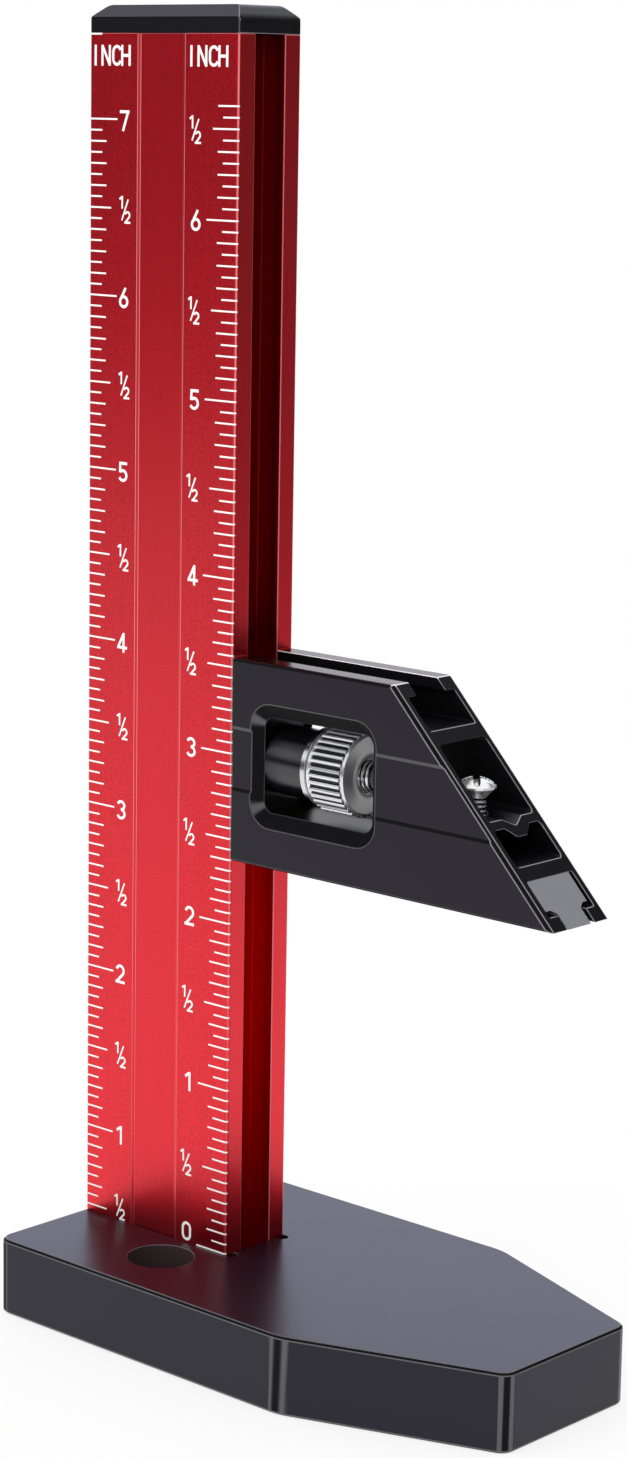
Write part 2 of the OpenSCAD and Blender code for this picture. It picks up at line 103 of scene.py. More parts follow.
class Sock:
    """An output socket with the operators of shader maths."""

    def __init__(self, tree: "ShaderTree", socket: bpy.types.NodeSocket) -> None:
        """Keep the socket and the tree that it belongs to."""
        self.tree = tree
        self.socket = socket

    def __add__(self, other: SocketInput) -> "Sock":
        """Sum of two values."""
        return self.tree.math("ADD", self, other)

    def __sub__(self, other: SocketInput) -> "Sock":
        """Difference of two values."""
        return self.tree.math("SUBTRACT", self, other)

    def __rsub__(self, other: SocketInput) -> "Sock":
        """Difference from a plain number."""
        return self.tree.math("SUBTRACT", other, self)

    def __mul__(self, other: SocketInput) -> "Sock":
        """Product of two values."""
        return self.tree.math("MULTIPLY", self, other)

    __radd__ = __add__
    __rmul__ = __mul__

    def peak(self, other: SocketInput) -> "Sock":
        """Larger of two values."""
        return self.tree.math("MAXIMUM", self, other)

    def size(self) -> "Sock":
        """Value without its sign."""
        return self.tree.math("ABSOLUTE", self)


class ShaderTree:
    """A node tree that is filled by expressions."""

    def __init__(self, tree: bpy.types.NodeTree) -> None:
        """Empty the tree and keep it."""
        self.tree = tree
        self.tree.nodes.clear()

    def node(
        self,
        kind: str,
        settings: Optional[Mapping[str, object]] = None,
        inputs: Optional[Mapping[Union[str, int], SocketInput]] = None,
    ) -> bpy.types.Node:
        """Add a node.

        Args:
            kind: Type name of the node.
            settings: Attributes of the node, which are set first.
            inputs: Values or links of its input sockets, by name or number.

        Returns:
            The new node.
        """
        made = self.tree.nodes.new(kind)
        for name, value in (settings or {}).items():
            if name == "stops":
                self.set_stops(made.color_ramp.elements, value)
            else:
                setattr(made, name, value)
        for name, value in (inputs or {}).items():
            self.feed(made.inputs[name], value)
        return made

    @staticmethod
    def set_stops(elements: bpy.types.ColorRampElements, stops: Iterable[Point2]) -> None:
        """Give a ramp its stops.

        Args:
            elements: Stops that the ramp has, which are replaced.
            stops: Place from 0 to 1 and level of grey of each new stop.
        """
        while len(elements) > 1:
            elements.remove(elements[-1])
        for number, (spot, level) in enumerate(sorted(stops)):
            stop = elements.new(spot) if number else elements[0]
            stop.position = spot
            stop.color = (level, level, level, 1.0)

    def feed(self, socket: bpy.types.NodeSocket, value: SocketInput) -> None:
        """Link a socket to an output, or set its value.

        Args:
            socket: Input socket.
            value: Output to link it to, or value to set.
        """
        source = value.socket if isinstance(value, Sock) else value
        if isinstance(source, bpy.types.NodeSocket):
            self.tree.links.new(source, socket)
        else:
            socket.default_value = source

    def math(self, operation: str, *values: SocketInput) -> Sock:
        """Add a Math node for an operation on values."""
        made = self.node("ShaderNodeMath", {"operation": operation}, dict(enumerate(values)))
        return Sock(self, made.outputs[0])

    def vector(self, operation: str, *values: SocketInput, result: str = "Vector") -> Sock:
        """Add a Vector Math node for an operation on vectors."""
        made = self.node("ShaderNodeVectorMath", {"operation": operation}, dict(enumerate(values)))
        return Sock(self, made.outputs[result])

    def mix(self, factor: SocketInput, first: SocketInput, second: SocketInput) -> Sock:
        """Mix two colours by the share of the second one, on the Mix node's colour sockets."""
        made = self.node("ShaderNodeMix", {"data_type": "RGBA"}, {0: factor, 6: first, 7: second})
        return Sock(self, made.outputs[2])

    def place(self, scale: Sequence[float] = (1.0, 1.0, 1.0)) -> Sock:
        """Coordinates on the object in metres, stretched by a factor along each axis."""
        return self.vector("MULTIPLY", self.node("ShaderNodeTexCoord").outputs["Object"], scale)

    def reach(self, way: Point3) -> Sock:
        """How far the surface's place lies along a direction."""
        return self.vector("DOT_PRODUCT", self.place(), way, result="Value")

    def facing(self, way: Point3) -> Sock:
        """Cosine of the angle between the surface's normal and a direction."""
        normal = self.node("ShaderNodeTexCoord").outputs["Normal"]
        return self.vector("DOT_PRODUCT", normal, way, result="Value")

    def noise(self, where: Sock, size: float) -> Sock:
        """Noise from 0 to 1 whose grains have a given size in metres."""
        inputs = {"Vector": where, "Scale": 1.0 / size, "Detail": 2.0, "Roughness": 0.6}
        return Sock(self, self.node("ShaderNodeTexNoise", {}, inputs).outputs[0])

    def within(self, value: Sock, low: float, high: float) -> Sock:
        """1 where a value lies between two limits, otherwise 0."""
        return self.math("GREATER_THAN", value, low) * self.math("LESS_THAN", value, high)

    def ramp(self, value: Sock, none_at: float, all_at: float) -> Sock:
        """0 at one value and 1 at another, above or below it, with a smooth change between them.

        Args:
            value: The value.
            none_at: Value that gives 0.
            all_at: Value that gives 1.

        Returns:
            The share.
        """
        rising = all_at > none_at
        low, high = sorted((none_at, all_at))
        made = self.node(
            "ShaderNodeMapRange",
            {"interpolation_type": "SMOOTHSTEP"},
            {0: value, 1: low, 2: high, 3: float(not rising), 4: float(rising)},
        )
        return Sock(self, made.outputs[0])

    def bump(self, height: Sock, depth: float) -> Sock:
        """Normal of a surface with a relief of a given depth in metres."""
        made = self.node("ShaderNodeBump", {}, {"Height": height, "Distance": depth, "Strength": 1.0})
        return Sock(self, made.outputs["Normal"])

    def blend(self, share: Sock, first: bpy.types.Node, second: bpy.types.Node) -> bpy.types.Node:
        """Mix two shaders by the share of the second one."""
        return self.node("ShaderNodeMixShader", {}, {0: share, 1: first.outputs[0], 2: second.outputs[0]})

    def surface(self, shader: bpy.types.Node, kind: str = "ShaderNodeOutputMaterial") -> None:
        """Send a shader to the output of the tree."""
        self.node(kind, {}, {"Surface": shader.outputs[0]})


def new_material(name: str) -> Tuple[bpy.types.Material, ShaderTree]:
    """Make a material without nodes.

    Args:
        name: Name of the material.

    Returns:
        The material and its tree.
    """
    made = bpy.data.materials.new(name)
    made.use_nodes = True
    return made, ShaderTree(made.node_tree)


def rgba(colour: Colour, gain: float = 1.0) -> Tuple[float, float, float, float]:
    """A colour with full alpha, brightened by a gain."""
    return (colour[0] * gain, colour[1] * gain, colour[2] * gain, 1.0)


def about(middle: float, half: float) -> Point2:
    """Span with a given middle and half width."""
    return (middle - half, middle + half)


class Mask:
    """Choice of a part of a surface."""

    def share(self, tree: ShaderTree) -> Sock:
        """1 on the chosen part and 0 elsewhere, from nodes of the tree."""
        raise NotImplementedError


@dataclass(frozen=True)
class InBox(Mask):
    """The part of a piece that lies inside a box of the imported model, or outside of it."""

    x: Point2 = OPEN
    y: Point2 = OPEN
    z: Point2 = OPEN
    inside: bool = True

    def share(self, tree: ShaderTree) -> Sock:
        """1 where the surface lies on the chosen side of the box.

        Args:
            tree: Tree that takes the nodes.

        Returns:
            The share.
        """
        spans = zip((X_WAY, Y_WAY, Z_WAY), (self.x, self.y, self.z))
        shares = [tree.within(tree.reach(way), *span) for way, span in spans if span != OPEN]
        share = reduce(Sock.__mul__, shares)
        return share if self.inside else 1.0 - share


@dataclass(frozen=True)
class NearAxis(Mask):
    """The part of a turned piece that lies close to its axis along X, over a span of its length."""

    centre: Point3
    radius: float
    span: Point2
    soft: float = 0.01 * MM

    def share(self, tree: ShaderTree) -> Sock:
        """1 inside the cylinder, falling to 0 over its soft skin.

        Args:
            tree: Tree that takes the nodes.

        Returns:
            The share.
        """
        y, z = tree.reach(Y_WAY) - self.centre[1], tree.reach(Z_WAY) - self.centre[2]
        near = tree.ramp(tree.math("SQRT", y * y + z * z), self.radius + self.soft, self.radius)
        return near * tree.within(tree.reach(X_WAY), *self.span)


@dataclass(frozen=True)
class Facing(Mask):
    """The part of a surface with certain headings in a plane, and with a tilt out of that plane.

    Headings run from 0 degrees along one way to 180 degrees against it, alike on both sides.
    """

    zero: Point3
    quarter: Point3
    spans: Tuple[Point2, ...]
    soft: float
    tilt: Point2 = (-0.01, 0.35)

    def stops(self) -> List[Point2]:
        """Ramp stops of the spans of headings, each with soft edges.

        Returns:
            Places from 0 to 1 for headings from 0 to 180 degrees, with the level at each.
        """
        made = [(0.0, 0.0)]
        for start, end in self.spans:
            levels = ((start - self.soft, 0.0), (start, 1.0), (end, 1.0), (end + self.soft, 0.0))
            made.extend((heading / HALF_TURN, level) for heading, level in levels)
        return made

    def share(self, tree: ShaderTree) -> Sock:
        """Level of the stops at the surface's heading, where its tilt fits.

        Args:
            tree: Tree that takes the nodes.

        Returns:
            The share.
        """
        upright = tuple(Vector(self.zero).cross(Vector(self.quarter)))
        heading = tree.math("ARCTAN2", tree.facing(self.quarter).size(), tree.facing(self.zero))
        ramp = tree.node("ShaderNodeValToRGB", {"stops": self.stops()}, {0: heading * (1.0 / math.pi)})
        return Sock(tree, ramp.outputs[0]) * tree.within(tree.facing(upright).size(), *self.tilt)


@dataclass(frozen=True)
class Toward(Mask):
    """The part of a surface that faces a direction, between two cosines of the angle to it."""

    way: Point3
    low: float = SQUARE_ON
    high: float = PAST_ALL

    def share(self, tree: ShaderTree) -> Sock:
        """1 where the surface faces that direction."""
        return tree.within(tree.facing(self.way), self.low, self.high)


@dataclass(frozen=True)
class Climb(Mask):
    """Share that goes from 0 at one place along a way to 1 at another."""

    none_at: float
    all_at: float
    way: Point3 = Z_WAY

    def share(self, tree: ShaderTree) -> Sock:
        """Share at the surface's place."""
        return tree.ramp(tree.reach(self.way), self.none_at, self.all_at)


@dataclass(frozen=True)
class Lean(Mask):
    """Share that goes from 0 to 1 as a surface turns toward a way, between two cosines."""

    way: Point3
    none_at: float
    all_at: float

    def share(self, tree: ShaderTree) -> Sock:
        """Share at the surface's direction."""
        return tree.ramp(tree.facing(self.way), self.none_at, self.all_at)


@dataclass(frozen=True)
class AnyOf(Mask):
    """The parts that at least one of several masks chooses."""

    masks: Tuple[Mask, ...]

    def share(self, tree: ShaderTree) -> Sock:
        """Largest share of the masks."""
        return reduce(Sock.peak, [mask.share(tree) for mask in self.masks])


@dataclass(frozen=True)
class Zone:
    """Part of a piece with a finish of its own, where all of its masks agree."""

    finish: "Finish"
    masks: Tuple[Mask, ...]

    def share(self, tree: ShaderTree) -> Sock:
        """Share of the zone's finish."""
        return reduce(Sock.__mul__, [mask.share(tree) for mask in self.masks])


@dataclass(frozen=True)
class Finish:
    """A surface finish with a fine grain, wide clouds and, where it has them, drawing lines."""

    name: str
    colour: Colour
    metallic: float = 0.0
    roughness: float = 0.4
    grain: Grain = Grain.NONE
    speck_size: float = 0.25 * MM
    speck: float = 0.15
    streak: float = 0.0
    relief: float = 0.003 * MM
    tint: Colour = WHITE
    ior: float = 1.5
    coat: float = 0.0
    coat_roughness: float = 0.1
    cloud_size: float = 30.0
    speck_gloss: float = 0.3
    cloud_gloss: float = 0.1
    zones: Tuple[Zone, ...] = ()

    def shader(self, tree: ShaderTree) -> bpy.types.Node:
        """Add the surface shader of the finish, without its zones.

        Args:
            tree: Tree that takes the nodes.

        Returns:
            The shader node.
        """
        where = tree.place()
        tone = tree.noise(where, self.speck_size)
        if self.streak:
            lines = tree.noise(tree.place(self.grain.value), self.speck_size)
            tone = tone * (1.0 - self.streak) + lines * self.streak
        cloud = tree.noise(where, self.cloud_size * self.speck_size)
        swing = (tone - NOISE_MIDDLE) * (self.speck_gloss * self.roughness)
        swing = swing + (cloud - NOISE_MIDDLE) * (self.cloud_gloss * self.roughness)
        return tree.node(
            "ShaderNodeBsdfPrincipled",
            {},
            {
                "Base Color": tree.mix(
                    tone, rgba(self.colour, 1.0 - self.speck), rgba(self.colour, 1.0 + self.speck)
                ),
                "Roughness": self.roughness + swing,
                "Metallic": self.metallic,
                "IOR": self.ior,
                "Specular Tint": rgba(self.tint),
                "Coat Weight": self.coat,
                "Coat Roughness": self.coat_roughness,
                "Normal": tree.bump(tone, self.relief),
            },
        )

    def material(self) -> bpy.types.Material:
        """The finish as a material, made once.

        Returns:
            The material of this name.
        """
        known = bpy.data.materials.get(self.name)
        if known:
            return known
        made, tree = new_material(self.name)
        shader = self.shader(tree)
        for zone in self.zones:
            shader = tree.blend(zone.share(tree), shader, zone.finish.shader(tree))
        tree.surface(shader)
        return made


def core(node: str, wall: float, inside: bool = True) -> InBox:
    """Upright core of a node without its outer walls, or the walls round it.

    Args:
        node: Name of the node.
        wall: Thickness of the walls.
        inside: Whether the core is chosen, not the walls.

    Returns:
        The mask.
    """
    low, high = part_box(node)
    return InBox((low.x + wall, high.x - wall), (low.y + wall, high.y - wall), inside=inside)


RAIL_EDGE_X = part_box("rail")[0].x
BASE_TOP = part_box("base_plate")[1].z
HEAD_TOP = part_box("head_body")[1].z
SLEEVE_END_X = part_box("clamp_sleeve")[0].x
NUT_LOW, NUT_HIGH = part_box("knurled_nut")
CLAMP_AXIS: Point3 = tuple((NUT_LOW + NUT_HIGH) / 2.0)

# Red rail: painted highlight lines at the edges of its shallow band, painted highlights on its corners and
# the band's flanks, fading out toward the base, and painted shade and light in its slots
BAND: Point2 = (9.95 * MM, 19.5 * MM)
BAND_FLANK = 0.5 * MM
LINE_HALF = 0.045 * MM
BAND_HIGHLIGHT_LINES = AnyOf(
    tuple(
        InBox(x=about(RAIL_EDGE_X + spot, LINE_HALF)) for spot in (BAND[0], BAND[0] + BAND_FLANK, BAND[1])
    )
)
RAIL_CORE = core("rail", wall=0.7 * MM)
RAIL_CORNERS = Facing(X_WAY, Y_WAY, ((36.0, 54.0), (126.0, 144.0)), soft=8.0)
RAIL_FLANKS = Facing(X_WAY, Y_WAY, ((71.0, 76.0), (104.0, 109.0)), soft=1.0)
UPPER_RAIL = Climb(none_at=-40.0 * MM, all_at=120.0 * MM)
# Painted light in the rail's slots grows below this height
UNDER_HEAD = Climb(none_at=110.0 * MM, all_at=70.0 * MM)

# Black head: painted highlight and shade on the flanks of its shallow band, the lips of its top slot, its
# cells, its mitre and its window
FLAT_TILT: Point2 = (-0.01, 0.05)
LIP_DROP = 0.2 * MM
SHOULDER_DROP = 0.55 * MM
MITRE_WAY: Point3 = (0.718, 0.0, 0.696)
HEAD_FLANK_LIT = Facing(Z_WAY, Y_WAY, ((104.0, 109.0),), soft=1.0, tilt=FLAT_TILT)
HEAD_FLANK_DIM = Facing(Z_WAY, Y_WAY, ((71.0, 76.0),), soft=1.0, tilt=FLAT_TILT)
HEAD_LIPS = InBox(z=(HEAD_TOP - LIP_DROP, FAR))
HEAD_SHOULDERS = InBox(z=(HEAD_TOP - SHOULDER_DROP, FAR))
HEAD_INSIDE = InBox(y=about(0.0, 5.6 * MM))
HEAD_UPPER = InBox(z=(CLAMP_AXIS[2], FAR))
HEAD_MITRE = Toward(MITRE_WAY, low=0.98)
LIP_RISE = 0.8
LIP_TOPS = Toward(Z_WAY, LIP_RISE)
SHOULDER_SLOPES = Toward(Z_WAY, low=0.12, high=LIP_RISE)
EDGE_RISE = 0.3
UPPER_EDGES = Toward(Z_WAY, EDGE_RISE)
LOWER_EDGES = Toward(Z_WAY, -PAST_ALL, EDGE_RISE)
REAR_EDGES = Toward(Y_WAY, low=0.2)
FRONTS = Toward(Y_WAY, -PAST_ALL, -SQUARE_ON)
WINDOW = InBox(x=about(0.85 * MM, 12.3 * MM), z=about(CLAMP_AXIS[2], 9.4 * MM))
BEVEL_TILT: Point2 = (0.6, 0.95)
BEVELS = AnyOf((Toward(Y_WAY, *BEVEL_TILT), Toward(Y_WAY, -BEVEL_TILT[1], -BEVEL_TILT[0])))
BEVEL_HIGHLIGHTS = Facing(X_WAY, Z_WAY, ((16.0, 30.0),), soft=12.0, tilt=BEVEL_TILT)

# Black base and cap: painted highlight and shade bands on the rounded corners, painted shade on the base's
# chamfer and the cap's long edges, and the hole
HOLE_MIDDLE: Point2 = (-21.5 * MM, -13.5 * MM)
HOLE_R = 5.1 * MM
HOLE_RIM = 0.15 * MM
HOLE = InBox(about(HOLE_MIDDLE[0], HOLE_R), about(HOLE_MIDDLE[1], HOLE_R), (-FAR, BASE_TOP - HOLE_RIM))
BASE_WALLS = core("base_plate", wall=12.0 * MM, inside=False)
BASE_CHAMFER = Toward(Z_WAY, low=0.5, high=SQUARE_ON)
BASE_LIGHT = Facing(
    X_WAY, Y_WAY,
    ((9.0, 22.0), (48.0, 61.0), (73.0, 75.5), (86.0, 87.0), (94.0, 97.0), (150.0, 170.0)), soft=2.0,
)
BASE_DARK = Facing(X_WAY, Y_WAY, ((27.0, 43.0), (79.0, 82.5), (102.0, 145.0)), soft=2.0)
CAP_CORNERS = Facing(X_WAY, Y_WAY, ((40.0, 50.0), (130.0, 140.0)), soft=8.0)
CAP_LONG_EDGES = Toward(X_WAY, *about(0.0, 0.25))

# Clamp: painted highlight bands on its sleeve, fading into painted shadow at the sleeve's end, painted shade
# in the grooves of its knurl, and the coned end of its nut with painted light and shade
SLEEVE_BANDS = Facing(Z_WAY, Y_WAY, ((52.0, 72.0), (90.0, 116.0)), soft=8.0)
SLEEVE_FADE = Climb(SLEEVE_END_X - 1.0 * MM, SLEEVE_END_X + 4.0 * MM, X_WAY)
KNURL_SPAN: Point2 = (NUT_LOW.x + 0.95 * MM, NUT_HIGH.x - 0.65 * MM)
KNURL_ROOT = NearAxis(CLAMP_AXIS, 6.08 * MM, KNURL_SPAN)
NUT_END: Tuple[Mask, ...] = (InBox(x=(KNURL_SPAN[1] + 0.3 * MM, FAR)), Toward(X_WAY))
NUT_END_LIT = Lean(Y_WAY, none_at=-0.135, all_at=-0.03)
NUT_MOUTH = NearAxis(CLAMP_AXIS, 2.7 * MM, OPEN, soft=0.9 * MM)

# Painted shade inside the rail's slots, with painted light in their lower part below the head
RED_SLOT_SHADE = Finish("red_painted_slot_shade", (0.43, 0.011, 0.014), metallic=1.0, roughness=0.45, speck=0.2)
RED_SLOT_LIGHT = Finish("red_painted_slot_light", (0.82, 0.010, 0.016), metallic=1.0, roughness=0.5, speck=0.2)
RED_SLOT_SHADING: Tuple[Zone, ...] = (Zone(RED_SLOT_SHADE, (RAIL_CORE,)), Zone(RED_SLOT_LIGHT, (RAIL_CORE, UNDER_HEAD)))
# Painted highlight on the rail's rounded upright corners
RED_CORNER_HIGHLIGHT = Finish("red_painted_corner_highlight", (0.80, 0.21, 0.24), speck=0.08)
# Painted highlight on the flanks of the rail's band
RED_FLANK_HIGHLIGHT = Finish("red_painted_flank_highlight", (0.88, 0.06, 0.075), metallic=0.9, speck=0.08)
# Painted highlight lines along the steps of the rail's band
RED_BAND_HIGHLIGHT = Finish("red_painted_band_highlight", (0.97, 0.32, 0.35), metallic=0.35, speck=0.03)
RED_ANODISED = Finish(
    "red_anodised_satin", (0.89, 0.016, 0.033), metallic=1.0, roughness=0.38, grain=Grain.ALONG_Z,
    speck=0.55, streak=0.2, coat=0.5, coat_roughness=0.22,
    zones=(
        Zone(RED_FLANK_HIGHLIGHT, (RAIL_FLANKS, UPPER_RAIL)),
        Zone(RED_CORNER_HIGHLIGHT, (RAIL_CORNERS, UPPER_RAIL)),
        Zone(RED_BAND_HIGHLIGHT, (BAND_HIGHLIGHT_LINES, UPPER_RAIL)),
        *RED_SLOT_SHADING,
    ),
)
# Painted highlight lines on the rail's bevelled edges, with the slots' painted shade and light inside
RED_EDGE_HIGHLIGHT = Finish("red_painted_edge_highlight", (0.95, 0.22, 0.24), metallic=0.6, speck=0.05, zones=RED_SLOT_SHADING)
# Painted shade: a darker, less reflecting copy of the black finishes, laid where shade falls
BLACK_SHADE = Finish("black_painted_shade", (0.005, 0.005, 0.006), roughness=0.5, speck=0.3, ior=1.18)
# Painted highlight on the rounded corners of the black parts and on the window's bevels
BLACK_HIGHLIGHT = Finish("black_painted_highlight", (0.085, 0.085, 0.092))
# Painted shade on the head's mitre face, by weaker reflection
BLACK_MITRE_SHADE = Finish("black_mitre_painted_shade", (0.004, 0.004, 0.005), roughness=0.35, speck=0.25, ior=1.33)
# Painted faint highlight on the lit flank of the head's band and on the window's edges
BLACK_FAINT_HIGHLIGHT = Finish("black_painted_faint_highlight", (0.055, 0.055, 0.06))
BLACK_SILL = Finish(
    "black_window_sill", (0.01, 0.01, 0.01), metallic=1.0, roughness=0.3, speck=0.2, tint=(0.80, 0.79, 0.71),
)
BLACK_LIP = Finish(
    "black_polished_lip", (0.115, 0.112, 0.105), metallic=1.0, roughness=0.25, speck=0.2,
    tint=(0.80, 0.76, 0.71),
)
# Painted highlight along the edges of the head's top lips
LIP_HIGHLIGHT = Finish("black_painted_lip_highlight", (0.93, 0.93, 0.93))
BLACK_ANODISED = Finish(
    "black_anodised_satin", (0.004, 0.004, 0.005), roughness=0.30, grain=Grain.ALONG_X,
    speck=0.25, streak=0.3, relief=0.0015 * MM, tint=(0.86, 0.76, 1.0), ior=1.415,
    zones=(
        Zone(BLACK_SHADE, (WINDOW, BEVELS)),
        Zone(BLACK_HIGHLIGHT, (WINDOW, BEVEL_HIGHLIGHTS)),
        Zone(BLACK_SILL, (WINDOW, Toward(Z_WAY))),
        Zone(BLACK_SHADE, (HEAD_INSIDE, FRONTS)),
        Zone(BLACK_FAINT_HIGHLIGHT, (HEAD_FLANK_LIT,)),
        Zone(BLACK_SHADE, (HEAD_FLANK_DIM,)),
        Zone(BLACK_SHADE, (HEAD_SHOULDERS, SHOULDER_SLOPES)),
        Zone(BLACK_LIP, (HEAD_LIPS, LIP_TOPS)),
        Zone(BLACK_MITRE_SHADE, (HEAD_MITRE,)),
    ),
)
# Painted highlight lines on the head's bevelled edges, with painted shade on those inside its cells
BLACK_EDGE_HIGHLIGHT = Finish(
    "black_painted_edge_highlight", (0.20, 0.20, 0.215),
    zones=(
        Zone(BLACK_SHADE, (HEAD_INSIDE, REAR_EDGES)),
        Zone(BLACK_SHADE, (HEAD_INSIDE, HEAD_UPPER, LOWER_EDGES)),
        Zone(LIP_HIGHLIGHT, (HEAD_LIPS, UPPER_EDGES)),
        Zone(BLACK_FAINT_HIGHLIGHT, (WINDOW,)),
    ),
)
# Painted highlight lines on the base's bevelled edges
BASE_EDGE_HIGHLIGHT = Finish("black_painted_base_edge_highlight", (0.10, 0.10, 0.107))
# Painted reflection of the red rail on the wall of the base's hole
HOLE_RED_REFLECTION = Finish("black_hole_painted_red_reflection", (0.045, 0.026, 0.028), roughness=0.5)
# Painted highlight and shade bands on the base's rounded corners, painted shade on its chamfer
BLACK_BASE = Finish(
    "black_anodised_base", (0.006, 0.0055, 0.011), roughness=0.30, speck=0.25, relief=0.001 * MM,
    tint=(0.86, 0.82, 1.0), ior=1.435,
    zones=(
        Zone(BLACK_SHADE, (BASE_CHAMFER,)),
        Zone(BLACK_HIGHLIGHT, (BASE_LIGHT, BASE_WALLS)),
        Zone(BLACK_SHADE, (BASE_DARK, BASE_WALLS)),
        Zone(HOLE_RED_REFLECTION, (HOLE,)),
    ),
)
# Painted highlight on the cap's rounded corners
BLACK_PLASTIC = Finish(
    "black_moulded_plastic", (0.006, 0.006, 0.007), roughness=0.32, speck_size=0.4 * MM, speck=0.3,
    tint=(0.88, 0.86, 1.0), ior=1.35, zones=(Zone(BLACK_HIGHLIGHT, (CAP_CORNERS,)),),
)
# Painted highlight lines on the cap's bevelled edges, with painted shade on its long edges
CAP_EDGE_HIGHLIGHT = Finish("black_painted_cap_edge_highlight", (0.16, 0.16, 0.17), zones=(Zone(BLACK_SHADE, (CAP_LONG_EDGES,)),))
# Painted highlight bands on the sleeve, fading out toward its end where the window wall shades it
SLEEVE_HIGHLIGHT = Finish("black_sleeve_painted_highlight", (0.035, 0.035, 0.038), roughness=0.3, speck=0.2)
BLACK_SLEEVE = Finish(
    "black_turned_sleeve", (0.005, 0.005, 0.006), roughness=0.24, speck=0.3, relief=0.001 * MM,
    tint=(0.9, 0.9, 1.0), zones=(Zone(SLEEVE_HIGHLIGHT, (SLEEVE_BANDS, SLEEVE_FADE)),),
)
TURNED = {"speck_size": 0.15 * MM, "speck": 0.06, "relief": 0.0008 * MM}
# Painted shade in the grooves and hollows of the steel parts
STEEL_SHADE = Finish("steel_painted_groove_shade", (0.05, 0.05, 0.055), metallic=1.0, speck=0.2)
BRIGHT_STEEL = Finish("bright_turned_steel", (0.74, 0.74, 0.76), metallic=1.0, roughness=0.2, **TURNED)
STUD_STEEL = Finish("bright_stud_steel", (0.9, 0.9, 0.91), metallic=0.8, roughness=0.22, **TURNED)
TURNED_FACE = Finish("bright_turned_face", (0.85, 0.85, 0.87), metallic=1.0, roughness=0.42, **TURNED)
# Painted light on the nut's coned end
FACE_LIT = Finish("bright_face_lit", (0.92, 0.92, 0.93), speck_size=0.15 * MM, speck=0.06)
KNURLED_STEEL = Finish(
    "bright_knurled_steel", (0.84, 0.84, 0.86), metallic=0.72, roughness=0.18, **TURNED,
    zones=(
        Zone(STEEL_SHADE, (KNURL_ROOT,)),
        Zone(TURNED_FACE, NUT_END),
        Zone(FACE_LIT, (*NUT_END, NUT_END_LIT)),
        Zone(STEEL_SHADE, (*NUT_END, NUT_MOUTH)),
    ),
)
GREY_BAR = Finish(
    "grey_blasted_bar", (0.20, 0.20, 0.225), roughness=0.62, speck_size=0.2 * MM, speck=0.12,
    relief=0.004 * MM,
)
BARE_ALUMINIUM = Finish(
    "sawn_aluminium", (0.60, 0.60, 0.62), metallic=1.0, roughness=0.35, grain=Grain.ALONG_X, speck=0.1,
    streak=0.5,
)
WHITE_PRINT = Finish(
    "white_print", (0.96, 0.955, 0.94), roughness=0.5, speck_size=0.3 * MM, speck=0.03, relief=0.002 * MM,
)


@dataclass
class MeshMaker:
    """Vertices and faces of one mesh while it is made."""

    verts: List[Vector] = field(default_factory=list)
    faces: List[Face] = field(default_factory=list)

    def add(self, points: Iterable[Sequence[float]]) -> List[int]:
        """Add points.

        Args:
            points: Places of the points.

        Returns:
            Their numbers in the mesh.
        """
        first = len(self.verts)
        self.verts.extend(Vector(p) for p in points)
        return list(range(first, len(self.verts)))

    def band(self, first: Sequence[int], second: Sequence[int], closed: bool) -> None:
        """Join two rows of points by quads.

        Args:
            first: Point numbers of one row.
            second: Point numbers of the other row.
            closed: Whether the rows close on themselves.
        """
        count = len(first)
        for i in range(count if closed else count - 1):
            j = (i + 1) % count
            self.faces.append((first[i], first[j], second[j], second[i]))

    def loft(self, rings: Sequence[Sequence[Sequence[float]]], loop: bool = False) -> None:
        """Skin over closed rings of points, with flat ends unless the rings form a loop.

        Args:
            rings: Rings with the same count of points each.
            loop: Whether the last ring joins the first.
        """
        rows = [self.add(ring) for ring in rings]
        for a, b in zip(rows, rows[1:]):
            self.band(a, b, closed=True)
        if loop:
            self.band(rows[-1], rows[0], closed=True)
        else:
            self.faces.append(tuple(reversed(rows[0])))
            self.faces.append(tuple(rows[-1]))

    def object(self, name: str, smooth_angle: float = 0.0) -> bpy.types.Object:
        """Make an object of the mesh.

        Args:
            name: Name of the object and its mesh.
            smooth_angle: Edges below this angle in degrees are shaded smooth.

        Returns:
            The new object, linked to the scene.
        """
        mesh = bpy.data.meshes.new(name)
        mesh.from_pydata(self.verts, [], self.faces)
        work = bmesh.new()
        work.from_mesh(mesh)
        bmesh.ops.recalc_face_normals(work, faces=work.faces)
        work.to_mesh(mesh)
        work.free()
        if smooth_angle:
            mesh.shade_smooth()
            mesh.set_sharp_from_angle(angle=math.radians(smooth_angle))
        made = bpy.data.objects.new(name, mesh)
        bpy.context.scene.collection.objects.link(made)
        return made


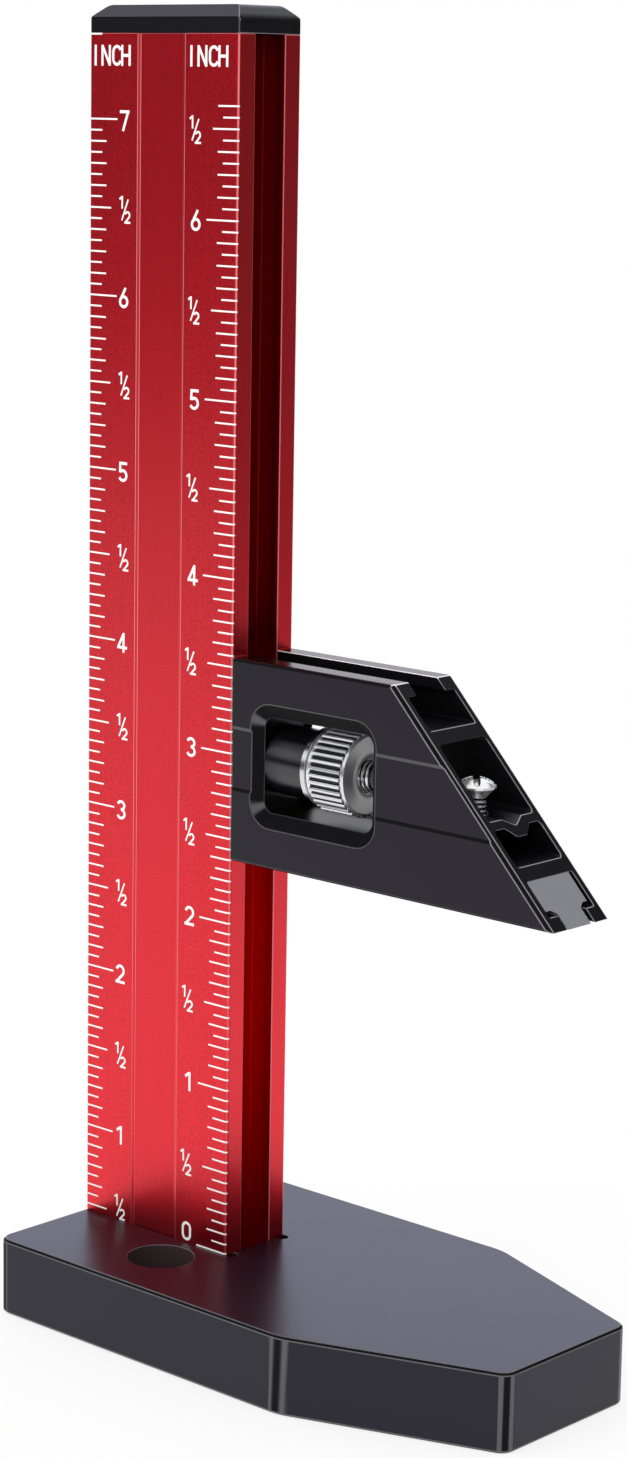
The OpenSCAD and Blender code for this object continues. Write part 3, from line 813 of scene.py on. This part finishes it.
def smooth_round_faces(angle: float) -> bpy.types.NodeTree:
    """Node group for a modifier that shades a mesh smooth, apart from its hard edges.

    Args:
        angle: Edges above this angle in degrees stay hard.

    Returns:
        The group, made once.
    """
    name = "smooth_round_faces"
    known = bpy.data.node_groups.get(name)
    if known:
        return known
    group = bpy.data.node_groups.new(name, "GeometryNodeTree")
    for way in ("INPUT", "OUTPUT"):
        group.interface.new_socket("Geometry", in_out=way, socket_type="NodeSocketGeometry")
    tree = ShaderTree(group)
    mesh = tree.node("NodeGroupInput").outputs[0]
    bend = tree.node("GeometryNodeInputMeshEdgeAngle").outputs[0]
    soft = tree.node("FunctionNodeCompare", {"operation": "LESS_THAN"}, {0: bend, 1: math.radians(angle)})
    faces = tree.node("GeometryNodeSetShadeSmooth", {"domain": "FACE"}, {"Geometry": mesh})
    edges = tree.node(
        "GeometryNodeSetShadeSmooth",
        {"domain": "EDGE"},
        {"Geometry": faces.outputs[0], "Shade Smooth": soft.outputs[0]},
    )
    tree.node("NodeGroupOutput", {}, {0: edges.outputs[0]})
    return group


@dataclass(frozen=True)
class EdgeBreak:
    """Small bevel that takes the sharpness off the edges of a machined piece; where it has a second finish,
    its faces take it as painted highlight lines along the edges.
    """

    width: float = 0.08 * MM
    rubbed: Optional[Finish] = None
    segments: int = 2
    angle: float = 32.0
    smooth: float = 14.0
    weld: float = 0.0005 * MM

    def apply(self, piece: bpy.types.Object) -> None:
        """Add the bevel to a dressed piece as modifiers, which leave its own mesh as it is.

        Args:
            piece: The piece.
        """
        weld = piece.modifiers.new("weld", "WELD")
        weld.merge_threshold = self.weld
        round_faces = piece.modifiers.new("round_faces", "NODES")
        round_faces.node_group = smooth_round_faces(self.smooth)
        bevel = piece.modifiers.new("edge_break", "BEVEL")
        bevel.width = self.width
        bevel.segments = self.segments
        bevel.limit_method = "ANGLE"
        bevel.angle_limit = math.radians(self.angle)
        bevel.use_clamp_overlap = False
        bevel.miter_outer = "MITER_ARC"
        bevel.loop_slide = False
        if self.rubbed:
            bevel.material = len(piece.data.materials)
            piece.data.materials.append(self.rubbed.material())
        normals = piece.modifiers.new("even_normals", "WEIGHTED_NORMAL")
        normals.keep_sharp = True


def dress(piece: bpy.types.Object, finish: Finish) -> None:
    """Give a piece one finish all over."""
    piece.data.materials.clear()
    piece.data.materials.append(finish.material())


def shade_faces(
    piece: bpy.types.Object, finish: Finish, chosen: Callable[[bpy.types.MeshPolygon], bool]
) -> None:
    """Give some faces of a dressed piece a second finish.

    Args:
        piece: The piece.
        finish: The second finish.
        chosen: Whether a face takes it.
    """
    piece.data.materials.append(finish.material())
    for face in piece.data.polygons:
        face.material_index = int(chosen(face))


def dress_node(node: str, finish: Finish, edge: Optional[EdgeBreak] = None) -> bpy.types.Object:
    """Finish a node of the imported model.

    Args:
        node: Name of the node.
        finish: Its finish.
        edge: Bevel of its edges, if it has one.

    Returns:
        The node's object.
    """
    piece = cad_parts[node]
    dress(piece, finish)
    if edge:
        edge.apply(piece)
    return piece


def add_piece(
    piece: bpy.types.Object,
    body: Body,
    finish: Finish,
    stands_for: Sequence[str] = (),
) -> bpy.types.Object:
    """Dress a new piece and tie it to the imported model.

    Args:
        piece: The piece, in place.
        body: Body that it rides on.
        finish: Its finish.
        stands_for: Nodes that it replaces.

    Returns:
        The same piece.
    """
    dress(piece, finish)
    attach(piece, body.value)
    if stands_for:
        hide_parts(*stands_for)
    return piece


def arc(centre: Point2, radii: Point2, start: float, end: float, steps: int = 14) -> List[Point2]:
    """Points along an elliptic arc.

    Args:
        centre: Centre of the ellipse.
        radii: Its half width and half height.
        start: First angle in degrees.
        end: Last angle in degrees.
        steps: Count of chords.

    Returns:
        Points from the first angle to the last.
    """
    angles = [math.radians(start + (end - start) * i / steps) for i in range(steps + 1)]
    return [(centre[0] + radii[0] * math.cos(a), centre[1] + radii[1] * math.sin(a)) for a in angles]


@dataclass(frozen=True)
class Stroke:
    """Centre line of one stroke of a figure."""

    points: Tuple[Point2, ...]
    closed: bool = False


def stroke(*points: Point2, closed: bool = False) -> Stroke:
    """A stroke through the given points."""
    return Stroke(tuple(points), closed)


@dataclass(frozen=True)
class Lettering:
    """Plain upright figures, drawn as strokes in a cell of unit height."""

    pen: float = 0.15
    width: float = 0.66
    bowl: float = 0.25
    waist_rise: float = 0.02

    def glyphs(self) -> Dict[str, List[Stroke]]:
        """Strokes of each sign.

        Returns:
            Lists of strokes by sign.
        """
        half, mid, wide = self.pen / 2.0, self.width / 2.0, self.width
        low, high, left, right = half, 1.0 - half, half, wide - half
        rx = mid - half
        loop = (high - low) / 2.0 - self.waist_rise
        lower_loop = (high - low) - loop
        stem = 0.68 * wide
        crown, foot = (mid, high - rx), (mid, low + rx)
        bowl_middle, bowl_radii = (mid, low + self.bowl), (rx, self.bowl)
        posts = [stroke((x, 0.0), (x, 1.0)) for x in (left, right)]
        stem_post = stroke((stem, 0.0), (stem, 1.0))
        return {
            "0": [stroke(*arc(crown, (rx, rx), 0, 180), *arc(foot, (rx, rx), 180, 360), closed=True)],
            "1": [stem_post, stroke((stem, 0.95), (0.22 * wide, 0.74))],
            "2": [
                stroke(*arc(crown, (rx, rx), 165, -32), (left + 0.02, half)),
                stroke((0.0, low), (wide, low)),
            ],
            "3": [
                stroke(*arc((mid, high - loop / 2), (0.92 * rx, loop / 2), 160, -90)),
                stroke(*arc((mid, low + lower_loop / 2), (rx, lower_loop / 2), 90, -158)),
            ],
            "4": [stem_post, stroke((stem, 0.95), (left, 0.27)), stroke((0.0, 0.25), (wide + 0.04, 0.25))],
            "5": [
                stroke((0.10, high), (wide - 0.03, high)),
                stroke((0.16, 1.0), (0.13, 0.47)),
                stroke(*arc(bowl_middle, bowl_radii, 132, -155)),
            ],
            "6": [
                stroke(*arc(bowl_middle, bowl_radii, 0, 360)[:-1], closed=True),
                stroke((0.70 * wide, 1.0), (left + 0.03, low + 1.35 * self.bowl)),
            ],
            "7": [stroke((0.0, high), (wide, high)), stroke((right - 0.02, high), (0.33 * wide, 0.0))],
            "I": [stroke((half, 0.0), (half, 1.0))],
            "N": [posts[0], stroke((left, 0.97), (right, 0.03)), posts[1]],
            "C": [stroke(*arc(crown, (rx, rx), 20, 180), *arc(foot, (rx, rx), 180, 340))],
            "H": [posts[0], stroke((left, 0.5), (right, 0.5)), posts[1]],
        }


@dataclass(frozen=True)
class Sign:
    """One sign on the rail's face: which, how tall and where its lower left corner is."""

    glyph: str
    height: float
    x: float
    z: float
    pen: float


@dataclass(frozen=True)
class ScaleColumn:
    """One column of marks along an edge of the rail, in sixteenths of an inch.

    Its figures stand at places from the rail's left edge, none lower than one height over the base.
    """

    side: int
    zero_z: float
    counts: range
    lengths: Mapping[int, float]
    figure_x: float
    fraction_x: float
    lowest_figure: float

    def length_at(self, count: int) -> float:
        """Length of the mark at a count, which the largest step that divides the count gives."""
        return next(self.lengths[step] for step in sorted(self.lengths, reverse=True) if count % step == 0)


@dataclass
class PrintedScale:
    """White marks and figures on the front of the rail."""

    rail: Tuple[Vector, Vector] = field(default_factory=lambda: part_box("rail"))
    base_top: float = BASE_TOP
    corner_r: float = 0.5 * MM
    corner_bend: Tuple[float, ...] = (0.0, 25.0, 50.0, 68.0)
    rise: float = 0.02 * MM
    step: float = 0.002 * MM
    sink: float = 0.01 * MM
    sharpest: float = 0.5
    mark_w: float = 0.25 * MM
    figure_h: float = 2.95 * MM
    figure_pen: float = 0.42 * MM
    figure_drop: float = 0.2 * MM
    fraction_h: float = 3.95 * MM
    fraction_w: float = 2.25 * MM
    fraction_pen: float = 0.30 * MM
    fraction_figure: float = 0.46
    fraction_shift: float = 0.25 * MM
    slash_from: Point2 = (0.22, 0.12)
    slash_to: Point2 = (0.80, 0.88)
    slash_pen: float = 0.85
    slash_layer: int = 3
    columns: Tuple[ScaleColumn, ...] = (
        ScaleColumn(
            side=-1, zero_z=0.0, counts=range(8, 113),
            lengths={16: 5.85 * MM, 8: 4.6 * MM, 2: 3.6 * MM, 1: 2.7 * MM},
            figure_x=6.35 * MM, fraction_x=6.35 * MM, lowest_figure=2.175 * MM,
        ),
        ScaleColumn(
            side=1, zero_z=BASE_TOP, counts=range(0, 107),
            lengths={16: 6.0 * MM, 8: 4.9 * MM, 2: 3.9 * MM, 1: 2.9 * MM},
            figure_x=20.9 * MM, fraction_x=20.5 * MM, lowest_figure=1.975 * MM,
        ),
    )
    unit_drop: float = 4.65 * MM
    unit_h: float = 2.95 * MM
    unit_pen: float = 0.42 * MM
    unit_xs: Point2 = (1.05 * MM, 20.5 * MM)
    unit_steps: Tuple[float, ...] = (0.0, 1.42 * MM, 3.66 * MM, 5.5 * MM)
    top_mark_l: float = 2.6 * MM

    @property
    def face_y(self) -> float:
        """Front face of the rail."""
        return self.rail[0].y

    def mark(self, maker: MeshMaker, z: float, inner: float, outer: float, side: int) -> None:
        """Add one mark, which bends round the rail's rounded corner at its outer end.

        Args:
            maker: Mesh that takes the mark.
            z: Height of its middle.
            inner: Its inner end along X.
            outer: The rail's edge along X.
            side: 1 where that edge is on the right, -1 on the left.
        """
        centre = Vector((outer - side * self.corner_r, self.face_y + self.corner_r))
        stations = [(Vector((inner, self.face_y)), Vector((0.0, -1.0)))]
        for angle in map(math.radians, self.corner_bend):
            way = Vector((side * math.sin(angle), -math.cos(angle)))
            stations.append((centre + way * self.corner_r, way))
        low, high = about(z, self.mark_w / 2.0)
        rings = []
        for spot, way in stations:
            out, back = spot + way * self.rise, spot - way * self.sink
            rings.append([(p.x, p.y, h) for p, h in ((out, low), (out, high), (back, high), (back, low))])
        maker.loft(rings if side > 0 else rings[::-1])

    def ribbon(
        self, maker: MeshMaker, line: Sequence[Point2], closed: bool, pen: float, layer: int = 0
    ) -> None:
        """Add a flat stroke of constant width.

        Args:
            maker: Mesh that takes the stroke.
            line: Its centre line on the face, as X and Z.
            closed: Whether the line closes on itself.
            pen: Width of the stroke.
            layer: Number of the stroke in its sign; each lies a little higher than the one before.
        """
        points = [Vector(p) for p in line]
        ends = points[1:] + points[:1] if closed else points[1:]
        chords = [(end - start).normalized() for start, end in zip(points, ends)]
        before = chords[-1:] + chords[:-1] if closed else chords[:1] + chords
        after = chords if closed else chords + chords[-1:]
        top, floor = self.face_y - self.rise - layer * self.step, self.face_y + self.sink
        rings = []
        for spot, arriving, leaving in zip(points, before, after):
            way = (arriving + leaving).normalized()
            across = Vector((-way.y, way.x)) * (pen / 2.0 / max(way.dot(arriving), self.sharpest))
            near, far = spot + across, spot - across
            corners = ((near, top), (far, top), (far, floor), (near, floor))
            rings.append([(p.x, y, p.y) for p, y in corners])
        maker.loft(rings, loop=closed)

    def sign(self, maker: MeshMaker, sign: Sign) -> None:
        """Add one sign of the lettering.

        Args:
            maker: Mesh that takes the sign.
            sign: The sign.
        """
        for layer, part in enumerate(Lettering(pen=sign.pen / sign.height).glyphs()[sign.glyph]):
            line = [(sign.x + p[0] * sign.height, sign.z + p[1] * sign.height) for p in part.points]
            self.ribbon(maker, line, part.closed, sign.pen, layer)

    def fraction(self, maker: MeshMaker, x: float, z: float) -> None:
        """Add a one half.

        Args:
            maker: Mesh that takes it.
            x: Place of its lower left corner along X.
            z: Height of that corner.
        """
        small = self.fraction_figure * self.fraction_h
        one_x = x - self.fraction_shift
        two_x = x + self.fraction_w - Lettering.width * small
        self.sign(maker, Sign("1", small, one_x, z + self.fraction_h - small, self.fraction_pen))
        self.sign(maker, Sign("2", small, two_x, z, self.fraction_pen))
        ends = (self.slash_from, self.slash_to)
        slash = [(x + u * self.fraction_w, z + v * self.fraction_h) for u, v in ends]
        self.ribbon(maker, slash, False, self.slash_pen * self.fraction_pen, self.slash_layer)

    def figure(self, maker: MeshMaker, column: ScaleColumn, count: int, z: float) -> None:
        """Add the figure of a mark, where the mark is on a half or a whole inch.

        Args:
            maker: Mesh that takes the figure.
            column: Column of the mark.
            count: Sixteenths of an inch at the mark.
            z: Height of the figure's middle.
        """
        left = self.rail[0].x
        inches, rest = divmod(count, SIXTEENTHS)
        if rest == SIXTEENTHS // 2:
            self.fraction(maker, left + column.fraction_x, z - self.fraction_h / 2.0)
        elif rest == 0:
            foot = z - self.figure_h / 2.0
            self.sign(maker, Sign(str(inches), self.figure_h, left + column.figure_x, foot, self.figure_pen))

    def build(self) -> List[bpy.types.Object]:
        """Make the marks and the figures.

        Returns:
            The two pieces.
        """
        left, right = self.rail[0].x, self.rail[1].x
        marks, figures = MeshMaker(), MeshMaker()
        for column in self.columns:
            edge = right if column.side > 0 else left
            for count in column.counts:
                z = column.zero_z + count * INCH / SIXTEENTHS
                inner = edge - column.side * column.length_at(count)
                self.mark(marks, max(z, self.base_top + self.mark_w / 2.0), inner, edge, column.side)
                middle = max(z, self.base_top + column.lowest_figure) - self.figure_drop
                self.figure(figures, column, count, middle)
        self.mark(marks, self.rail[1].z - self.mark_w / 2.0, left + self.top_mark_l, left, -1)
        unit_z = self.rail[1].z - self.unit_drop
        for start in self.unit_xs:
            for letter, step in zip("INCH", self.unit_steps):
                self.sign(figures, Sign(letter, self.unit_h, left + start + step, unit_z, self.unit_pen))
        made = (marks.object("scale_marks"), figures.object("scale_figures"))
        return [add_piece(piece, Body.STAND, WHITE_PRINT) for piece in made]


def held(value: float) -> float:
    """A value held between 0 and 1."""
    return min(1.0, max(0.0, value))


@dataclass
class ThreadedRod:
    """A round bar with a cut thread, chamfered at its far end and, where wanted, at its first."""

    radius: float
    pitch: float
    depth: float
    chamfer: float
    both_ends: bool = True
    sides: int = 48
    rows_per_turn: int = 10
    root: float = 0.12
    flank: float = 0.72

    def radius_at(self, along: float, turn: float, length: float) -> float:
        """Radius of the thread at a point.

        Args:
            along: Distance from the first end.
            turn: Angle round the axis, as a share of a turn.
            length: Length of the bar.

        Returns:
            The radius there.
        """
        phase = (along / self.pitch - turn) % 1.0
        tooth = held((abs(2.0 * phase - 1.0) - self.root) / self.flank)
        from_end = min(along, length - along) if self.both_ends else length - along
        limit = self.radius - self.chamfer + from_end
        return min(self.radius - self.depth * (1.0 - tooth), limit)

    def rings(self, length: float) -> List[Ring]:
        """Rings of points along Z from 0 to the bar's length.

        Args:
            length: Length of the bar.

        Returns:
            Rings of points, the first at Z 0.
        """
        rows = max(2, round(length / self.pitch * self.rows_per_turn))
        made = []
        for i in range(rows + 1):
            along = length * i / rows
            ring = []
            for j in range(self.sides):
                turn = j / self.sides
                r = self.radius_at(along, turn, length)
                ring.append((r * math.cos(TURN * turn), r * math.sin(TURN * turn), along))
            made.append(ring)
        return made


@dataclass
class CrossScrew:
    """Countersunk screw with a domed top, a tapered cross recess and a cut thread."""

    head_r: float
    shank_r: float
    length: float
    dome: float = 1.2 * MM
    rim: float = 0.3 * MM
    pitch: float = 0.65 * MM
    thread_depth: float = 0.32 * MM
    tip_chamfer: float = 0.5 * MM
    arm_half_w: float = 0.46 * MM
    arm_reach: float = 2.5 * MM
    arm_taper: float = 0.25
    end_slope: float = 0.75
    recess_depth: float = 1.5 * MM
    recess_turn: float = 42.0
    wall: float = 0.16 * MM
    shade_from: float = 0.12 * MM
    groove_share: float = 0.62
    steep: float = 0.55
    smooth_angle: float = 35.0
    sides: int = 96
    head_rings: int = 34

    @property
    def neck(self) -> float:
        """Drop of the thread's start below the top."""
        return self.dome + self.rim + self.head_r - self.shank_r

    def dome_at(self, r: float) -> float:
        """Drop of the dome below its top at a distance from the axis."""
        ball = (self.head_r ** 2 + self.dome ** 2) / (2.0 * self.dome)
        return ball - math.sqrt(ball ** 2 - r ** 2)

    def recess_at(self, x: float, y: float) -> float:
        """Depth of the cross recess at a point of the head's top.

        Args:
            x: Place of the point along X, from the axis.
            y: Place of the point along Y, from the axis.

        Returns:
            The depth there.
        """
        spot = Matrix.Rotation(-math.radians(self.recess_turn), 2) @ Vector((x, y))
        beside, along = sorted((abs(spot.x), abs(spot.y)))
        half_w = self.arm_half_w * (1.0 - self.arm_taper * along / self.arm_reach)
        side = held((half_w - beside) / self.wall + 0.5)
        end = held((self.arm_reach - along) / (self.end_slope * self.arm_reach))
        return self.recess_depth * side * end

    def object(self, name: str, top: Vector) -> bpy.types.Object:
        """Make the screw, upright.

        Args:
            name: Name of the piece.
            top: Top of the head's dome.

        Returns:
            The new object.
        """
        turns = [TURN * i / self.sides for i in range(self.sides)]
        rings: List[Ring] = []
        for i in range(1, self.head_rings + 1):
            r = self.head_r * i / self.head_rings
            spots = [(r * math.cos(a), r * math.sin(a)) for a in turns]
            rings.append([(x, y, -self.dome_at(r) - self.recess_at(x, y)) for x, y in spots])
        brim = self.dome + self.rim
        rings.append([(self.head_r * math.cos(a), self.head_r * math.sin(a), -brim) for a in turns])
        rod = ThreadedRod(self.shank_r, self.pitch, self.thread_depth, self.tip_chamfer, False, self.sides)
        shank = rod.rings(self.length - self.neck)
        rings.extend([[(x, y, -self.neck - z) for x, y, z in ring] for ring in shank])
        maker = MeshMaker()
        maker.loft(rings)
        made = maker.object(name, self.smooth_angle)
        made.data.transform(Matrix.Translation(top))
        return made

    def is_hollow(self, spot: Vector, rise: float) -> bool:
        """Whether a face is a wall of the cross recess or lies in a groove of the thread.

        Args:
            spot: Middle of the face, measured from the top.
            rise: Upward part of its normal.

        Returns:
            True for such a face.
        """
        r = spot.xy.length
        if spot.z < -self.neck:
            return r < self.shank_r - self.groove_share * self.thread_depth
        if abs(rise) >= self.steep or self.recess_at(spot.x, spot.y) <= self.shade_from:
            return False
        drop = -spot.z - self.dome_at(r)
        return self.shade_from < drop < self.recess_depth + self.rim


@dataclass
class Stand:
    """Base, rail, cap and the parts that join them."""

    rail_edge: EdgeBreak = EdgeBreak(width=0.12 * MM, rubbed=RED_EDGE_HIGHLIGHT)
    base_edge: EdgeBreak = EdgeBreak(width=0.10 * MM, rubbed=BASE_EDGE_HIGHLIGHT)
    cap_edge: EdgeBreak = EdgeBreak(width=0.10 * MM, rubbed=CAP_EDGE_HIGHLIGHT)
    screw_edge: EdgeBreak = EdgeBreak()

    def build(self) -> List[bpy.types.Object]:
        """Finish the stand's nodes and print the scale on the rail.

        Returns:
            The pieces of the stand.
        """
        return [
            dress_node("base_plate", BLACK_BASE, self.base_edge),
            dress_node("rail", RED_ANODISED, self.rail_edge),
            dress_node("rail_plug", BARE_ALUMINIUM),
            dress_node("rail_screw", BRIGHT_STEEL, self.screw_edge),
            dress_node("top_cap", BLACK_PLASTIC, self.cap_edge),
            *PrintedScale().build(),
        ]


@dataclass
class SlidingHead:
    """Head with its sole bar, its screw and the clamp's inner parts."""

    head_edge: EdgeBreak = EdgeBreak(width=0.10 * MM, rubbed=BLACK_EDGE_HIGHLIGHT)
    bar_edge: EdgeBreak = EdgeBreak()
    stud_pitch: float = 0.8 * MM
    stud_depth: float = 0.45 * MM
    stud_chamfer: float = 0.5 * MM
    stud_smooth: float = 40.0
    groove_share: float = 0.5
    end_facing: float = 0.95
    bar_shank_r: float = 1.5 * MM

    def stud(self) -> bpy.types.Object:
        """Make the clamp stud with its thread.

        Returns:
            The stud.
        """
        low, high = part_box("clamp_stud")
        radius = (high.z - low.z) / 2.0
        rod = ThreadedRod(radius, self.stud_pitch, self.stud_depth, self.stud_chamfer)
        maker = MeshMaker()
        maker.loft(rod.rings(high.x - low.x))
        piece = maker.object("threaded_stud", self.stud_smooth)
        start = Vector((low.x, 0.0, (low.z + high.z) / 2.0))
        piece.data.transform(Matrix.Translation(start) @ Matrix.Rotation(math.pi / 2.0, 4, "Y"))
        add_piece(piece, Body.HEAD, STUD_STEEL, ["clamp_stud"])
        # Painted shade in the thread's grooves
        groove_r = radius - self.groove_share * self.stud_depth
        shade_faces(
            piece,
            STEEL_SHADE,
            lambda face: abs(face.normal.x) < self.end_facing and (face.center - start).yz.length < groove_r,
        )
        return piece

    def bar_screw(self) -> bpy.types.Object:
        """Make the screw over the sole bar, with its recess and thread.

        Returns:
            The screw.
        """
        low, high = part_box("sole_bar_screw")
        top = Vector(((low.x + high.x) / 2.0, (low.y + high.y) / 2.0, high.z))
        screw = CrossScrew((high.x - low.x) / 2.0, self.bar_shank_r, high.z - low.z)
        piece = screw.object("cross_recess_screw", top)
        add_piece(piece, Body.HEAD, STUD_STEEL, ["sole_bar_screw"])
        # Painted shade on the recess walls and in the thread's grooves
        shade_faces(piece, STEEL_SHADE, lambda face: screw.is_hollow(face.center - top, face.normal.z))
        return piece

    def build(self) -> List[bpy.types.Object]:
        """Finish the head's nodes and make its threaded parts.

        Returns:
            The pieces of the head.
        """
        return [
            dress_node("head_body", BLACK_ANODISED, self.head_edge),
            dress_node("sole_bar", GREY_BAR, self.bar_edge),
            dress_node("guide_key", BLACK_SLEEVE),
            dress_node("clamp_bar", BRIGHT_STEEL),
            dress_node("clamp_sleeve", BLACK_SLEEVE, self.bar_edge),
            self.stud(),
            self.bar_screw(),
        ]


@dataclass
class ClampNut:
    """Knurled nut and its washer."""

    edge: EdgeBreak = EdgeBreak(width=0.05 * MM)

    def build(self) -> List[bpy.types.Object]:
        """Finish the nut and the washer."""
        finishes = {"clamp_washer": BRIGHT_STEEL, "knurled_nut": KNURLED_STEEL}
        return [dress_node(node, finish, self.edge) for node, finish in finishes.items()]


@dataclass
class PhotoCamera:
    """Camera at the photograph's place, for a frame of 627 by 1458."""

    azimuth: float = 42.363
    pitch: float = 10.845
    roll: float = 0.935
    focal: float = 3327.79
    frame_height: float = 1458.0
    sensor: float = 36.0
    place: Point3 = (311.929 * MM, -347.264 * MM, 182.181 * MM)
    clip: Point2 = (0.01, 100.0)

    def build(self) -> None:
        """Make the camera the scene's own."""
        a, p, r = (math.radians(v) for v in (self.azimuth, self.pitch, self.roll))
        ahead = Vector((-math.sin(a) * math.cos(p), math.cos(a) * math.cos(p), -math.sin(p)))
        level = Vector((math.cos(a), math.sin(a), 0.0))
        above = level.cross(ahead)
        right = math.cos(r) * level + math.sin(r) * above
        up = math.cos(r) * above - math.sin(r) * level
        data = bpy.data.cameras.new("photo_camera")
        data.sensor_width = self.sensor
        data.lens = self.focal / self.frame_height * self.sensor
        data.clip_start, data.clip_end = self.clip
        made = bpy.data.objects.new("photo_camera", data)
        turn = Matrix((right, up, -ahead)).transposed().to_4x4()
        made.matrix_world = Matrix.Translation(Vector(self.place)) @ turn
        bpy.context.scene.collection.objects.link(made)
        bpy.context.scene.camera = made


def seen_directly(tree: ShaderTree) -> Sock:
    """1 for rays from the camera and for mirrored or refracted ones, otherwise 0.

    Args:
        tree: Tree that takes the nodes.

    Returns:
        The share.
    """
    path = tree.node("ShaderNodeLightPath").outputs
    shown = [Sock(tree, path[f"Is {ray} Ray"]) for ray in ("Camera", "Glossy", "Transmission")]
    return reduce(Sock.peak, shown)


@dataclass(frozen=True)
class Screen:
    """Curved upright screen round the object that only polished surfaces show."""

    name: str
    radius: float
    headings: Point2
    heights: Point2
    light: Colour
    steps: int = 32

    def build(self) -> None:
        """Hang the screen."""
        maker = MeshMaker()
        spots = arc((0.0, 0.0), (self.radius,) * 2, *self.headings, self.steps)
        rows = [maker.add((x, y, z) for x, y in spots) for z in self.heights]
        maker.band(*rows, closed=False)
        made = maker.object(self.name)
        finish, tree = new_material(self.name)
        tree.surface(tree.node("ShaderNodeEmission", {}, {"Color": rgba(self.light), "Strength": 1.0}))
        made.data.materials.append(finish)
        for ray in ("camera", "diffuse", "transmission", "shadow"):
            setattr(made, f"visible_{ray}", False)


@dataclass(frozen=True)
class Lamp:
    """Square soft lamp that polished surfaces don't show."""

    name: str
    place: Point3
    size: float
    power: float
    aim: Point3 = (0.0, 0.0, 0.09)

    def build(self) -> None:
        """Hang the lamp so that it faces its aim."""
        data = bpy.data.lights.new(self.name, "AREA")
        data.size = self.size
        data.energy = self.power
        made = bpy.data.objects.new(self.name, data)
        made.location = self.place
        made.rotation_mode = "QUATERNION"
        made.rotation_quaternion = (Vector(self.aim) - Vector(self.place)).to_track_quat("-Z", "Y")
        made.visible_glossy = False
        bpy.context.scene.collection.objects.link(made)


@dataclass
class Studio:
    """White floor and surroundings, screens for the reflections and soft lamps."""

    floor_half: float = 12.0
    floor_white: float = 0.8
    fade_radii: Point2 = (0.25, 0.9)
    floor_colour: Colour = (0.86, 0.86, 0.86)
    sky_light: float = 0.85
    screens: Tuple[Screen, ...] = (
        Screen("front_screen", 1.15, (178.0, 352.0), (0.0, 0.38), (0.09, 0.09, 0.09)),
        Screen("front_canopy", 2.5, (205.0, 330.0), (1.75, 4.6), (0.02, 0.02, 0.02)),
        Screen("left_flag", 0.42, (172.0, 212.0), (0.25, 0.5), (0.02, 0.02, 0.02)),
        Screen("right_screen", 0.42, (-10.0, 95.0), (0.0, 0.2), (0.2, 0.2, 0.2)),
        Screen("right_flag", 0.42, (-10.0, 95.0), (0.2, 0.5), (0.08, 0.08, 0.08)),
        Screen("cool_panel", 2.4, (100.0, 170.0), (0.0, 3.0), (1.2, 1.23, 1.5)),
    )
    lamps: Tuple[Lamp, ...] = (
        Lamp("top_lamp", (-0.1, 0.1, 1.2), size=1.2, power=6.0),
        Lamp("front_lamp", (-0.5, -1.1, 0.5), size=0.8, power=4.0),
    )

    def floor(self) -> None:
        """Pale floor that shows white, more so away from the object, and keeps the shadow."""
        maker = MeshMaker()
        h = self.floor_half
        maker.faces.append(tuple(maker.add([(-h, -h, 0.0), (h, -h, 0.0), (h, h, 0.0), (-h, h, 0.0)])))
        made = maker.object("floor")
        finish, tree = new_material("pale_floor")
        matt = tree.node("ShaderNodeBsdfDiffuse", {}, {"Color": rgba(self.floor_colour)})
        white = tree.node("ShaderNodeEmission", {}, {"Color": rgba(WHITE), "Strength": 1.0})
        away = tree.vector("LENGTH", tree.place(), result="Value")
        fade = self.floor_white + tree.ramp(away, *self.fade_radii) * (1.0 - self.floor_white)
        tree.surface(tree.blend(seen_directly(tree) * fade, matt, white))
        made.data.materials.append(finish)

    def world(self) -> None:
        """White surroundings at a plain level of light."""
        made = bpy.data.worlds.new("white_room")
        made.use_nodes = True
        tree = ShaderTree(made.node_tree)
        level = self.sky_light + seen_directly(tree) * (1.0 - self.sky_light)
        back = tree.node("ShaderNodeBackground", {}, {"Color": rgba(WHITE), "Strength": level})
        tree.surface(back, "ShaderNodeOutputWorld")
        bpy.context.scene.world = made

    def build(self) -> None:
        """Set up the floor, the surroundings, the screens and the lamps."""
        self.floor()
        self.world()
        for fitting in (*self.screens, *self.lamps):
            fitting.build()
        bpy.context.scene.view_settings.view_transform = "Standard"


def main() -> None:
    """Build the camera, the studio and every sub-assembly."""
    logging.basicConfig(level=logging.INFO, format="%(message)s")
    PhotoCamera().build()
    Studio().build()
    for assembly in (Stand(), SlidingHead(), ClampNut()):
        for piece in assembly.build():
            LOG.info("%s: %s in %s", type(assembly).__name__, piece.name, piece.data.materials[0].name)


if __name__ == "__main__":
    main()
